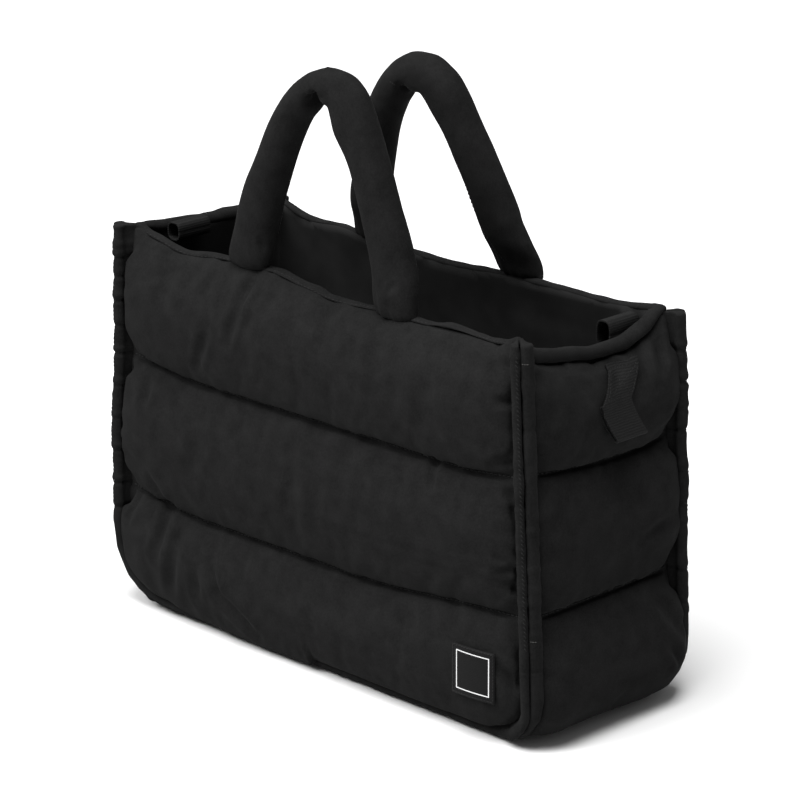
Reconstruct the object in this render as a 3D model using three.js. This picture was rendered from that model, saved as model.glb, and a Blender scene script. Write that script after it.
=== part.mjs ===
// A padded tote bag, standing open. A quilted front and back panel are joined to a U-shaped gusset that
// makes both ends and the base. The four bound seam edges stand out as a flange round each panel.
// Units are millimetres. +Z is up, X runs along the width, -Y is the front. The origin is on the floor,
// under the middle of the body.
import * as THREE from 'three';

// Body, measured to the seams where the panels meet the gusset
const bodyHeight = 288;
const topHalfWidth = 188;
const baseHalfWidth = 201;
const topHalfDepth = 73;
const baseHalfDepth = 71;
const baseSeamHeight = 13;
const lowerQuiltHeight = 93;
const upperQuiltHeight = 192;
const frontLeftRadius = 50;
const frontRightRadius = 26;
const backLeftRadius = 42;
const backRightRadius = 38;
const cornerRadius = {
  front: { '-1': frontLeftRadius, 1: frontRightRadius },
  back: { '-1': backLeftRadius, 1: backRightRadius },
};

// Padding: the wall at its stitched seams, how far each channel swells past it, and the width of the
// slope from a seam to the full swell
const seamThickness = 6;
const panelSwell = 20;
const panelSlope = 36;
const droopAngle = 0.95;
const droopHeight = 22;
const endSwell = 17;
const endSlope = 30;
const crease = { depth: 0.35, at: 0.75, spread: 0.15 };
const lowestSlope = 0.7;
// Profile of a channel from seam to seam: how flat its middle is, and how round its edges
const swellFlatness = 2.6;
const swellRoundness = 0.7;
const liningThickness = 1.5;

// Rim: the roll that binds the mouth, how far the sides sag, and how far they lean in at the middle
const rimSag = 12;
const panelRollWidth = 7.5;
const panelRollHeight = 4;
const endRollWidth = 10;
const endRollHeight = 9;
const endRollTaper = 0.25;
const panelLean = 11;
const endLean = 5;

// Drop of the rim below bodyHeight, in shares of rimSag, at shares of the half length of that side
const cornerDrop = { front: { '-1': 0, 1: 0.5 }, back: { '-1': 0.75, 1: 1.4 } };
const rimDrops = {
  front: [
    { at: -1, drop: cornerDrop.front['-1'] },
    { at: -0.6, drop: 0.5 },
    { at: -0.28, drop: 0.5 },
    { at: 0, drop: 1.25 },
    { at: 0.28, drop: 1 },
    { at: 0.5, drop: 1 },
    { at: 0.62, drop: 0.6 },
    { at: 0.83, drop: 0.75 },
    { at: 1, drop: cornerDrop.front[1] },
  ],
  back: [
    { at: -1, drop: cornerDrop.back['-1'] },
    { at: -0.7, drop: 1.15 },
    { at: -0.5, drop: 1.25 },
    { at: -0.28, drop: 1.25 },
    { at: 0.05, drop: 1.4 },
    { at: 0.28, drop: 1.15 },
    { at: 0.5, drop: 1.15 },
    { at: 0.75, drop: 1.3 },
    { at: 1, drop: cornerDrop.back[1] },
  ],
  '-1': [
    { at: -1, drop: cornerDrop.front['-1'] },
    { at: 0, drop: 0.4 },
    { at: 1, drop: cornerDrop.back['-1'] },
  ],
  1: [
    { at: -1, drop: cornerDrop.front[1] },
    { at: -0.88, drop: 1.35 },
    { at: -0.35, drop: 1.85 },
    { at: 0, drop: 2.25 },
    { at: 0.4, drop: 2.35 },
    { at: 0.8, drop: 1.7 },
    { at: 1, drop: cornerDrop.back[1] },
  ],
};

// Flange: how far the two bound edges stand out of a corner, and how wide each roll is
const flangeDepth = 12;
const panelBindingWidth = 6;
const gussetBindingWidth = 8.5;
const flangeSqueeze = 0.42;
const flangeTuckLength = 55;
const flangeTuck = 0.9;
const flangeClearance = 3;

// Handles
const handleHalfSpread = 73;
const handleDiameter = 26;
const frontHandleRise = 136;
const backHandleRise = 138;
const backHandleLean = 26;
const backHandleApexExtra = 5;
const apexSpread = 0.15;
const handles = [
  { name: 'handle_front', side: 'front', rise: frontHandleRise, lean: 0, apexExtra: 0 },
  {
    name: 'handle_back',
    side: 'back',
    rise: backHandleRise,
    lean: backHandleLean,
    apexExtra: backHandleApexExtra,
  },
];
// Centre line: across in shares of handleHalfSpread, up in shares of the rise
const handleLine = [
  { across: -1.05, up: 0 },
  { across: -0.97, up: 0.16 },
  { across: -0.87, up: 0.33 },
  { across: -0.69, up: 0.53 },
  { across: -0.47, up: 0.76 },
  { across: -0.23, up: 0.92 },
  { across: 0.03, up: 1 },
  { across: 0.26, up: 0.98 },
  { across: 0.4, up: 0.88 },
  { across: 0.57, up: 0.65 },
  { across: 0.73, up: 0.42 },
  { across: 0.86, up: 0.2 },
  { across: 0.95, up: 0 },
];
// Section along the handle, in shares of handleDiameter
const handleSections = [
  { at: 0, width: 1.5, depth: 0.6 },
  { at: 0.06, width: 1.36, depth: 0.9 },
  { at: 0.3, width: 1, depth: 1 },
  { at: 0.46, width: 0.84, depth: 1.04 },
  { at: 0.58, width: 0.9, depth: 1.04 },
  { at: 0.75, width: 1.08, depth: 1.04 },
  { at: 0.94, width: 1.36, depth: 0.9 },
  { at: 1, width: 1.5, depth: 0.6 },
];

// Webbing: a tab sewn outside each end and a loop sewn inside it
const webbingWidth = 30;
const webbingThickness = 1.6;
const tabBelowTop = 39;
const tabOffCentre = 2;
const tabSlant = 14;
const tabSewnLength = 21;
const tabFreeLength = 21;
const tabFlare = 12;
const tabDrift = 5;
const tabBend = 1.5;
const loopHeight = 20;
const loopDepth = 13;
const rightLoopOffCentre = 42;
const leftLoopOffCentre = 36;
const rightLoopBelowTop = 17;
const leftLoopBelowTop = -1;
const ends = [
  { hand: 1, tag: 'right', loopOffCentre: rightLoopOffCentre, loopBelowTop: rightLoopBelowTop },
  { hand: -1, tag: 'left', loopOffCentre: leftLoopOffCentre, loopBelowTop: leftLoopBelowTop },
];

// Label patch on the front
const labelSize = 36;
const labelThickness = 0.8;
const labelFromSeam = 36;
const labelAboveSeam = 37;

// Clearance between pieces that touch, and more of it where a flat piece lies over a padded curve
const gap = 0.3;
const overCurve = 0.7;
const rightTabOverCurve = 1.6;
const leftTabOverCurve = 0.7;

const black = 0x2a2a2b;
const cloth = () => new THREE.MeshStandardMaterial({ color: black, roughness: 0.95, metalness: 0 });
const liningCloth = () => new THREE.MeshStandardMaterial({ color: 0x1d1d1e, roughness: 0.9, metalness: 0 });
const webbing = () => new THREE.MeshStandardMaterial({ color: 0x232324, roughness: 0.85, metalness: 0 });

const { lerp, clamp, smoothstep } = THREE.MathUtils;

// Collects grids of points into one closed surface
class Surface {
  constructor() {
    this.points = [];
    this.triangles = [];
    this.known = new Map();
  }

  vertex(point) {
    const key = point.map((value) => Math.round(value * 1e4)).join(' ');
    if (!this.known.has(key)) {
      this.known.set(key, this.points.length);
      this.points.push(point);
    }
    return this.known.get(key);
  }

  triangle(a, b, c) {
    if (a !== b && b !== c && c !== a) this.triangles.push([a, b, c]);
  }

  grid(rows, flipped = false) {
    for (let i = 0; i + 1 < rows.length; i += 1) {
      for (let j = 0; j + 1 < rows[i].length; j += 1) {
        const corners = [rows[i][j], rows[i][j + 1], rows[i + 1][j + 1], rows[i + 1][j]];
        const [a, b, c, d] = corners.map((point) => this.vertex(point));
        this.triangle(a, flipped ? c : b, flipped ? b : c);
        this.triangle(a, flipped ? d : c, flipped ? c : d);
      }
    }
  }

  volume() {
    return this.triangles.reduce((sum, corners) => {
      const [a, b, c] = corners.map((index) => new THREE.Vector3(...this.points[index]));
      return sum + a.dot(b.cross(c)) / 6;
    }, 0);
  }

  geometry() {
    const order = this.volume() < 0 ? [0, 2, 1] : [0, 1, 2];
    const geometry = new THREE.BufferGeometry();
    geometry.setAttribute('position', new THREE.Float32BufferAttribute(this.points.flat(), 3));
    geometry.setIndex(this.triangles.flatMap((corners) => order.map((k) => corners[k])));
    geometry.computeVertexNormals();
    return geometry;
  }
}

// A wall between two grids with the same rows and columns
function wall(outer, inner) {
  const surface = new Surface();
  const border = (rows) => {
    const last = rows.length - 1;
    const width = rows[0].length - 1;
    return [
      ...rows[0],
      ...rows.slice(1).map((row) => row[width]),
      ...rows[last].slice(0, width).reverse(),
      ...rows.slice(0, last).reverse().map((row) => row[0]),
    ];
  };
  surface.grid(outer);
  surface.grid(inner, true);
  surface.grid([border(inner), border(outer)]);
  return surface.geometry();
}

// A solid through closed sections, with its ends capped, or joined where the run closes on itself
function run(sections, closes = false) {
  const surface = new Surface();
  const rings = sections.map((section) => [...section, section[0]]);
  surface.grid(closes ? [...rings, rings[0]] : rings);
  if (!closes) {
    const cap = (section, flipped) => {
      const corners = section.map((point) => surface.vertex(point));
      for (let k = 1; k + 1 < corners.length; k += 1) {
        surface.triangle(corners[0], corners[flipped ? k + 1 : k], corners[flipped ? k : k + 1]);
      }
    };
    cap(sections[0], true);
    cap(sections[sections.length - 1], false);
  }
  return surface.geometry();
}

// Reads a column of a table at a share, eased between its rows
function fromTable(table, column, share) {
  const next = table.findIndex((row) => row.at >= share);
  if (next < 0) return table[table.length - 1][column];
  if (next === 0) return table[0][column];
  const [from, to] = [table[next - 1], table[next]];
  return lerp(from[column], to[column], smoothstep(share, from.at, to.at));
}

const heightShare = (z) => (z - baseSeamHeight) / (bodyHeight - baseSeamHeight);
const halfWidthAt = (z) => lerp(baseHalfWidth, topHalfWidth, heightShare(z));
const halfDepthAt = (z) => lerp(baseHalfDepth, topHalfDepth, heightShare(z));
const rimTop = (side, share) => bodyHeight - rimSag * fromTable(rimDrops[side], 'drop', share);

// The end roll grows to its full size a little way in from each corner
const rollGrowth = (share) => smoothstep(1 - Math.abs(share), 0, endRollTaper);
const endRoll = (share) => ({
  width: lerp(panelRollWidth, endRollWidth, rollGrowth(share)),
  height: lerp(panelRollHeight, endRollHeight, rollGrowth(share)),
});

// How far the walls lean in, from nothing at the upper quilt seam to the full lean at the rim
const leanShare = (share) => 1 - Math.abs(share) ** 3;
const leanRise = (z) => clamp((z - upperQuiltHeight) / (bodyHeight - rimSag - upperQuiltHeight), 0, 1) ** 2;
const panelLeanAt = (share, z) => panelLean * leanShare(share) * leanRise(z);
const endLeanAt = (share, z) => endLean * leanShare(share) * leanRise(z);

// Swell of a padded channel between its quilt seams, and away from the side seams
const channelSwell = (share) =>
  (1 - Math.abs(2 * clamp(share, 0, 1) - 1) ** swellFlatness) ** swellRoundness;
const sideSwell = (distance, slope) => 1 - (1 - clamp(distance / slope, 0, 1)) ** 2;
function heightSwell(z, rim) {
  if (z >= upperQuiltHeight) return channelSwell((z - upperQuiltHeight) / (rim - upperQuiltHeight));
  if (z >= lowerQuiltHeight) {
    return channelSwell((z - lowerQuiltHeight) / (upperQuiltHeight - lowerQuiltHeight));
  }
  return channelSwell((z - baseSeamHeight) / (lowerQuiltHeight - baseSeamHeight));
}

// Stations down one end: three channels from the rim to the corner, then round the corner to the base.
// level is 3 at the rim, 2 and 1 at the quilt seams, 0 where the corner starts; turn is the corner's share.
const channelShares = [0, 0.08, 0.28, 0.5, 0.72, 0.92];
const endStations = [
  ...channelShares.map((share) => ({ level: 3 - share, turn: 0 })),
  ...channelShares.map((share) => ({ level: 2 - share, turn: 0 })),
  ...[0, 0.2, 0.6].map((share) => ({ level: 1 - share, turn: 0 })),
  ...[0, 0.25, 0.5, 0.75, 1].map((share) => ({ level: 0, turn: share })),
];
const columnShares = [0, 0.015, 0.04, 0.07, 0.105, 0.25, 0.36, 0.5, 0.64, 0.75, 0.895, 0.93, 0.96, 0.985, 1];

// Stations that are enough where a piece follows the straight seams, and where it leans in at the rim
const seamStation = ({ level, turn }) => turn > 0 || Number.isInteger(level);
const skinStation = (station) => seamStation(station) || station.level > 2;

// A point of the seam outline of one panel, moved inwards by an inset, with the way out of the body
function seamPoint(side, hand, station, inset, rim) {
  const radius = cornerRadius[side][hand];
  const heights = [baseSeamHeight + radius, lowerQuiltHeight, upperQuiltHeight, rim];
  const floor = Math.min(Math.floor(station.level), 2);
  const angle = (station.turn * Math.PI) / 2;
  const z = lerp(heights[floor], heights[floor + 1], station.level - floor);
  const drop = (radius - inset) * Math.sin(angle);
  const across = halfWidthAt(z - drop) - inset - (radius - inset) * (1 - Math.cos(angle));
  return { x: hand * across, z: z - drop, out: [hand * Math.cos(angle), -Math.sin(angle)] };
}

// The whole outline from the left rim, under the base, to the right rim
const outline = [
  ...endStations.map((station) => ({ ...station, hand: -1 })),
  ...columnShares.slice(1, -1).map((share) => ({ level: 0, turn: 1, share, hand: 0 })),
  ...endStations.map((station) => ({ ...station, hand: 1 })).reverse(),
];
function outlinePoint(side, station, inset, rimOf) {
  if (station.hand) return seamPoint(side, station.hand, station, inset, rimOf(station.hand));
  const [left, right] = [-1, 1].map((hand) => seamPoint(side, hand, station, inset, rimOf(hand)));
  return { x: lerp(left.x, right.x, station.share), z: lerp(left.z, right.z, station.share), out: [0, -1] };
}

// Front and back panels

const sideSign = { front: -1, back: 1 };

// Grid of the plain wall of a panel, inset from its seams; along runs from -1 at the left seam to 1
function panelGrid(side, inset, stations = endStations) {
  const topCut = panelRollHeight + gap;
  const rimOf = (hand) => rimTop(side, hand) - topCut;
  return stations.map((station) => {
    const [left, right] = [-1, 1].map((hand) => seamPoint(side, hand, station, inset, rimOf(hand)));
    return columnShares.map((share) => {
      const along = 2 * share - 1;
      const x = lerp(left.x, right.x, share);
      const rim = rimTop(side, along) - topCut;
      const sag = Math.max(station.level - 2, 0) * (rim - lerp(rimOf(-1), rimOf(1), share));
      const edge = Math.min(x - left.x, right.x - x);
      return { x, z: lerp(left.z, right.z, share) + sag, along, rim, edge };
    });
  });
}

// How far the lowest edge of the swell rolls down over the tucked flange
function droop(x, z) {
  const tucked = smoothstep(x, -baseHalfWidth + cornerRadius.front['-1'], -baseHalfWidth / 2);
  return droopAngle * tucked * (1 - smoothstep(z, baseSeamHeight, baseSeamHeight + droopHeight));
}

function panelOuterPoint(side, { x, z, along, rim, edge }, lift = 0) {
  const swell = panelSwell * heightSwell(z, rim) * sideSwell(edge, panelSlope) + lift;
  const angle = side === 'front' ? droop(x, z) : 0;
  const out = halfDepthAt(z) + gap * Math.SQRT2 - panelLeanAt(along, z) + swell * Math.cos(angle);
  return [x, sideSign[side] * out, z - swell * Math.sin(angle)];
}

function panel(side) {
  const outer = panelGrid(side, 0).map((row) => row.map((cell) => panelOuterPoint(side, cell)));
  const setBack = gap * Math.SQRT2 - seamThickness;
  const inner = panelGrid(side, seamThickness).map((row) =>
    row.map(({ x, z, along }) => {
      return [x, sideSign[side] * (halfDepthAt(z) + setBack - panelLeanAt(along, z)), z];
    }),
  );
  return wall(outer, inner);
}

// Gusset: both ends and the base in one strip

const depthShares = [0, 0.04, 0.12, 0.25, 0.4, 0.5, 0.6, 0.75, 0.88, 0.96, 1];

// A point between the front and back seam outlines, with the way out of the body there
function gussetPoint(station, share, inset) {
  const along = 2 * share - 1;
  const topCut = endRoll(along).height + gap;
  const rimOf = (hand) => rimTop(hand, along) - topCut;
  const [front, back] = ['front', 'back'].map((side) => outlinePoint(side, station, inset, rimOf));
  const z = lerp(front.z, back.z, share);
  const depth = halfDepthAt(z) - inset;
  const out = new THREE.Vector2(
    lerp(front.out[0], back.out[0], share),
    lerp(front.out[1], back.out[1], share),
  ).normalize();
  const lean = station.hand * endLeanAt(along, z);
  return { x: lerp(front.x, back.x, share) - lean, y: depth * along, z, out };
}

// Swell of the ends by channel, and of the corner and base with one crease between them
function gussetSwell(station, share, z, rim) {
  const depth = 2 * halfDepthAt(z);
  const across = sideSwell(Math.min(share, 1 - share) * depth, endSlope);
  const creased = crease.depth * Math.exp(-(((station.turn - crease.at) / crease.spread) ** 2));
  const lowest = sideSwell(1 - station.level, lowestSlope) * (1 - creased);
  return across * (station.level >= 1 ? heightSwell(z, rim) : lowest);
}

function gusset() {
  const outer = outline.map((station) =>
    depthShares.map((share) => {
      const { x, y, z, out } = gussetPoint(station, share, 0);
      const along = 2 * share - 1;
      const rim = rimTop(station.hand || 1, along) - endRoll(along).height - gap;
      const swell = endSwell * gussetSwell(station, share, z, rim);
      return [x + out.x * swell, y, Math.max(z + out.y * swell, 0)];
    }),
  );
  const inner = outline.map((station) =>
    depthShares.map((share) => {
      const { x, y, z } = gussetPoint(station, share, seamThickness);
      return [x, y, z];
    }),
  );
  return wall(outer, inner);
}

// Lining: one thin sack inside the padded walls

function lining() {
  const surface = new Surface();
  const skins = [seamThickness + gap, seamThickness + gap + liningThickness];
  const rims = skins.map((inset, layer) => {
    const strip = outline.filter(skinStation).map((station) =>
      depthShares.map((share) => {
        const { x, y, z } = gussetPoint(station, share, inset);
        return [x, y, z];
      }),
    );
    const faces = ['front', 'back'].map((side) =>
      panelGrid(side, inset, endStations.filter(skinStation)).map((row) =>
        row.map(({ x, z, along }) => {
          return [x, sideSign[side] * (halfDepthAt(z) - inset - panelLeanAt(along, z)), z];
        }),
      ),
    );
    surface.grid(strip, layer === 1);
    surface.grid(faces[0], layer === 0);
    surface.grid(faces[1], layer === 1);
    const [left, right] = [strip[0], strip[strip.length - 1]];
    return [
      ...faces[0][0],
      ...right.slice(1),
      ...faces[1][0].slice(0, -1).reverse(),
      ...left.slice(0, -1).reverse(),
    ];
  });
  surface.grid(rims);
  return surface.geometry();
}

// Flange: a bound edge of the panel and one of the gusset, side by side along each seam

// Section of one bound edge: out from the seam in shares of flangeDepth, across in shares of its width
const bindingSection = [
  { out: 0.06, across: 0.06 },
  { out: 0.06, across: 0.3 },
  { out: 0.3, across: 0.42 },
  { out: 0.42, across: 0.95 },
  { out: 0.7, across: 1 },
  { out: 0.95, across: 0.75 },
  { out: 1, across: 0.35 },
  { out: 0.93, across: 0.06 },
];

// How far the flange is tucked under the body, from the left corner along the base to the right corner
function tuckedShare(side, station) {
  if (station.hand) return station.hand > 0 || side === 'back' ? station.turn : 0;
  const fromCorner = station.share * 2 * baseHalfWidth;
  return side === 'back' ? 1 : smoothstep(fromCorner, 0, flangeTuckLength);
}

function binding(side, onPanel) {
  const width = onPanel ? panelBindingWidth : gussetBindingWidth;
  const rimOf = (hand) => rimTop(side, hand);
  return run(
    outline.filter(seamStation).map((station) => {
      const { x, z, out } = outlinePoint(side, station, 0, rimOf);
      const y = sideSign[side] * (halfDepthAt(z) + gap);
      const tucked = tuckedShare(side, station);
      const squeeze = lerp(1, flangeSqueeze, station.turn);
      const away = new THREE.Vector3(out[0], sideSign[side] * (1 - flangeTuck * tucked), out[1]).normalize();
      const inward = new THREE.Vector3(out[0], -sideSign[side], out[1]);
      const toGusset = inward.addScaledVector(away, -inward.dot(away)).normalize();
      const reach = lerp(flangeDepth, baseSeamHeight - flangeClearance, station.turn);
      return bindingSection.map((row) => {
        const across = (onPanel ? -1 : 1) * (gap / 2 + row.across * width * squeeze);
        return new THREE.Vector3(x, y, z)
          .addScaledVector(away, gap + row.out * reach)
          .addScaledVector(toGusset, across)
          .toArray();
      });
    }),
  );
}

// Rim roll: one closed roll over the top edges of the panels, the gusset and the lining

const rollCorners = 6;
const wallDepth = seamThickness + gap + liningThickness;

// Points of the bare top edge at an inset, in order along one side
const sideEdge = (side, inset) =>
  panelGrid(side, inset)[0].map(({ x, z, along }) => {
    return new THREE.Vector3(x, sideSign[side] * (halfDepthAt(z) - inset - panelLeanAt(along, z)), z);
  });
const endEdge = (hand, inset) =>
  depthShares.map((share) => {
    const { x, y, z } = gussetPoint({ hand, level: 3, turn: 0 }, share, inset);
    return new THREE.Vector3(x, y, z);
  });

function rimBinding() {
  const sideRoll = () => ({ width: panelRollWidth, height: panelRollHeight });
  const sideRolls = columnShares.map(sideRoll);
  const endRolls = depthShares.map((share) => endRoll(2 * share - 1));
  const stretch = (edgeOf, rolls) => {
    const [outer, inner] = [edgeOf(0), edgeOf(wallDepth)];
    return outer.map((point, k) => ({ outer: point, inner: inner[k], roll: rolls[k] }));
  };
  const path = [
    ...stretch((inset) => sideEdge('front', inset), sideRolls),
    ...stretch((inset) => endEdge(1, inset), endRolls).slice(1, -1),
    ...stretch((inset) => sideEdge('back', inset), sideRolls).reverse(),
    ...stretch((inset) => endEdge(-1, inset), endRolls).slice(1, -1).reverse(),
  ];
  return run(
    path.map(({ outer, inner, roll }) => {
      const middle = outer.clone().lerp(inner, 0.5);
      const across = outer.clone().sub(inner).multiplyScalar(roll.width / wallDepth / 2);
      return Array.from({ length: rollCorners }, (_, corner) => {
        const angle = (corner * 2 * Math.PI) / rollCorners;
        const up = gap + ((1 + Math.sin(angle)) * roll.height) / 2;
        return middle.clone().addScaledVector(across, Math.cos(angle)).setZ(
          middle.z + across.z * Math.cos(angle) + up,
        ).toArray();
      });
    }),
    true,
  );
}

// Handles: padded tubes that stand on the rim roll, flattened where they are sewn down

const handleSteps = 26;
const handleCorners = 12;

function handle({ side, rise, lean, apexExtra }) {
  const first = handleLine[0].across;
  const last = handleLine[handleLine.length - 1].across;
  const baseHeight = (across) => {
    return rimTop(side, (across * handleHalfSpread) / topHalfWidth) + gap;
  };
  const y = sideSign[side] * (halfDepthAt(bodyHeight) - seamThickness / 2 - panelLean);
  const line = handleLine.map(({ across, up }) => {
    const base = lerp(baseHeight(first), baseHeight(last), (across - first) / (last - first));
    return new THREE.Vector3(across * handleHalfSpread, y - lean * up, base + rise * up);
  });
  const curve = new THREE.CatmullRomCurve3(line, false, 'centripetal');
  return run(
    Array.from({ length: handleSteps + 1 }, (_, step) => {
      const share = step / handleSteps;
      const tangent = curve.getTangentAt(share);
      if (step === 0) tangent.set(0, 0, 1);
      if (step === handleSteps) tangent.set(0, 0, -1);
      const outward = new THREE.Vector3(0, 1, 0).cross(tangent).normalize();
      const sideways = tangent.clone().cross(outward);
      const apex = apexExtra * Math.exp(-(((share - 0.5) / apexSpread) ** 2));
      const halfWidth = (fromTable(handleSections, 'width', share) * handleDiameter + apex) / 2;
      const halfDepth = (fromTable(handleSections, 'depth', share) * handleDiameter) / 2;
      return Array.from({ length: handleCorners }, (unused, corner) => {
        const angle = (corner * 2 * Math.PI) / handleCorners;
        return curve
          .getPointAt(share)
          .addScaledVector(outward, Math.cos(angle) * halfWidth)
          .addScaledVector(sideways, Math.sin(angle) * halfDepth)
          .toArray();
      });
    }),
  );
}

// Webbing tabs outside the ends: sewn flat at the top, with a doubled end that hangs free and kicks out

function endSurface(hand, y, z) {
  const along = y / halfDepthAt(z);
  const rim = rimTop(hand, along) - endRoll(along).height - gap;
  const across = sideSwell(halfDepthAt(z) - Math.abs(y), endSlope);
  return halfWidthAt(z) - endLeanAt(along, z) + endSwell * across * heightSwell(z, rim);
}

const tabRows = [0, 0.25, 0.5, 0.75, 1, 1.3, 1.65, 2];
const acrossShares = [-0.5, 0, 0.5];

function outerTab({ hand }) {
  const overEnd = hand > 0 ? rightTabOverCurve : leftTabOverCurve;
  const layer = (offset) =>
    tabRows.map((row) => {
      const sewn = Math.min(row, 1);
      const free = Math.max(row - 1, 0);
      const drift = tabOffCentre + tabSlant * (1 - sewn) + tabDrift * free ** tabBend;
      return acrossShares.map((share) => {
        const y = drift + share * webbingWidth;
        const z = bodyHeight - tabBelowTop - tabSewnLength * sewn - tabFreeLength * free;
        const flare = tabFlare * free ** tabBend;
        return [hand * (endSurface(hand, y, z) + overEnd + offset + flare), y, z];
      });
    });
  return wall(layer(2 * webbingThickness), layer(0));
}

// Webbing loops inside the ends: a short open tube that lies along the wall just under the rim

const loopSteps = 14;
const loopSquareness = 0.65;

function innerLoop({ hand, loopOffCentre, loopBelowTop }) {
  const nearMiddle = (loopOffCentre - webbingWidth / 2) / topHalfDepth;
  const edge = rimTop(hand, hand * nearMiddle) - endRollHeight - gap;
  const rollDepth = (wallDepth + Math.max(endRollWidth, wallDepth)) / 2;
  const against = halfWidthAt(edge) - endLeanAt(nearMiddle, edge) - rollDepth - gap;
  const centre = { x: against - loopDepth / 2, z: bodyHeight - loopBelowTop - loopHeight / 2 };
  const rounded = (value) => Math.sign(value) * Math.abs(value) ** loopSquareness;
  return run(
    Array.from({ length: loopSteps }, (_, step) => {
      const angle = (step * 2 * Math.PI) / loopSteps;
      const at = (inset, side) => [
        hand * (centre.x + rounded(Math.cos(angle)) * (loopDepth / 2 - inset)),
        hand * loopOffCentre + (side * webbingWidth) / 2,
        centre.z + rounded(Math.sin(angle)) * (loopHeight / 2 - inset),
      ];
      return [at(0, -1), at(0, 1), at(webbingThickness, 1), at(webbingThickness, -1)];
    }),
    true,
  );
}

// Label patch, laid over the swell of the front panel

const labelShares = [-0.5, -0.25, 0, 0.25, 0.5];

function labelPatch() {
  const radius = cornerRadius.front[1];
  const centreZ = baseSeamHeight + labelAboveSeam;
  const centreX = halfWidthAt(centreZ) - labelFromSeam;
  const layer = (lift) =>
    labelShares.map((down) =>
      labelShares.map((right) => {
        const x = centreX + right * labelSize;
        const z = centreZ - down * labelSize;
        const below = clamp(baseSeamHeight + radius - z, 0, radius);
        const edge = halfWidthAt(z) - radius + Math.sqrt(radius ** 2 - below ** 2) - x;
        const along = x / halfWidthAt(z);
        const rim = rimTop('front', along) - panelRollHeight - gap;
        return panelOuterPoint('front', { x, z, along, rim, edge }, lift);
      }),
    );
  return wall(layer(overCurve + labelThickness), layer(overCurve));
}

const tote = new THREE.Group();
function add(name, geometry, material) {
  const mesh = new THREE.Mesh(geometry, material);
  mesh.name = name;
  tote.add(mesh);
}

add('gusset', gusset(), cloth());
add('lining', lining(), liningCloth());
['front', 'back'].forEach((side) => {
  add(`${side}_panel`, panel(side), cloth());
  add(`${side}_panel_binding`, binding(side, true), cloth());
  add(`${side}_gusset_binding`, binding(side, false), cloth());
});
add('rim_binding', rimBinding(), cloth());
handles.forEach((each) => add(each.name, handle(each), cloth()));
ends.forEach((end) => {
  add(`outer_tab_${end.tag}`, outerTab(end), webbing());
  add(`inner_loop_${end.tag}`, innerLoop(end), webbing());
});
add('label_patch', labelPatch(), cloth());

export default tote;
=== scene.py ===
import math

import bmesh
import bpy
import numpy as np
from mathutils import Matrix, Vector
from mathutils.bvhtree import BVHTree


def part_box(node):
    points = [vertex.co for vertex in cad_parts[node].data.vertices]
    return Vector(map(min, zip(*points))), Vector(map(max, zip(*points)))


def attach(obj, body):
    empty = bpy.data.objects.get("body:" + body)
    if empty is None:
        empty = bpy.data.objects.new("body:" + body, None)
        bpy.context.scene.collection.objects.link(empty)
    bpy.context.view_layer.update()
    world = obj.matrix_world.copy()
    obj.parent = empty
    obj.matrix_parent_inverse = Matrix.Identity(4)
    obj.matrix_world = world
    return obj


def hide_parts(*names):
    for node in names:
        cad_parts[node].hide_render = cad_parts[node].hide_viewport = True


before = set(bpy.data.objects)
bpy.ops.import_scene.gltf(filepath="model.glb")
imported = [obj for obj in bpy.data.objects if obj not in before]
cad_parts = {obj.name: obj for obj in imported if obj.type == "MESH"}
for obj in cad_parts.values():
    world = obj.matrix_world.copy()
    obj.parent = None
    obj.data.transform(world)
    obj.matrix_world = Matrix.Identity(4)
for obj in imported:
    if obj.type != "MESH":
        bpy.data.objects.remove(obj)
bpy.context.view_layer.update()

MM = 0.001

# Nets of the padded pieces, fine enough for the folds, and the cloth pieces' own measures
PANEL_NET = 4 * MM
HANDLE_NET = 3 * MM
LINING_NET = 4 * MM
LINING_CLOTH = 1.5 * MM
WEBBING_WIDTH = 30 * MM
WEBBING_THICK = 1.4 * MM
TAB_TOP = 249 * MM
TAB_SEWN = 21 * MM
TAB_FREE = 22 * MM
TAB_SLANT = 22 * MM
TAB_TURN = 5 * MM
LABEL_WIDTH = 36 * MM
LABEL_THICK = 0.8 * MM

# Sizes of the body that the CAD solids have too
BODY_HEIGHT = 288 * MM
TOP_HALF_WIDTH = 188 * MM
BASE_HALF_WIDTH = 201 * MM
TOP_HALF_DEPTH = 73 * MM
BASE_HALF_DEPTH = 71 * MM
BASE_SEAM = 13 * MM
QUILT_SEAMS = (93 * MM, 192 * MM)
PANEL_LEAN = 11 * MM
END_LEAN = 5 * MM
RIM_SAG = 12 * MM
CORNER_RADIUS = {"front": (50 * MM, 26 * MM), "back": (42 * MM, 38 * MM)}
SIDE = {"front": -1, "back": 1}
# How far the mouth drops below the body's height, in rim sags, at shares of each side's length
RIM_DROP = {
    "front": ((-1, 0), (-0.6, 0.5), (-0.28, 0.5), (0, 1.25), (0.28, 1), (0.5, 1), (0.62, 0.6),
              (0.83, 0.75), (1, 0.5)),
    "back": ((-1, 0.75), (-0.7, 1.15), (-0.28, 1.25), (0.05, 1.4), (0.28, 1.15), (0.5, 1.15),
             (0.75, 1.3), (1, 1.4)),
    "left": ((-1, 0), (0, 0.4), (1, 0.75)),
    "right": ((-1, 0.5), (-0.88, 1.35), (-0.35, 1.85), (0, 2.25), (0.4, 2.35), (0.8, 1.7), (1, 1.4)),
}


# Camera first, at the photograph's angle

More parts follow.
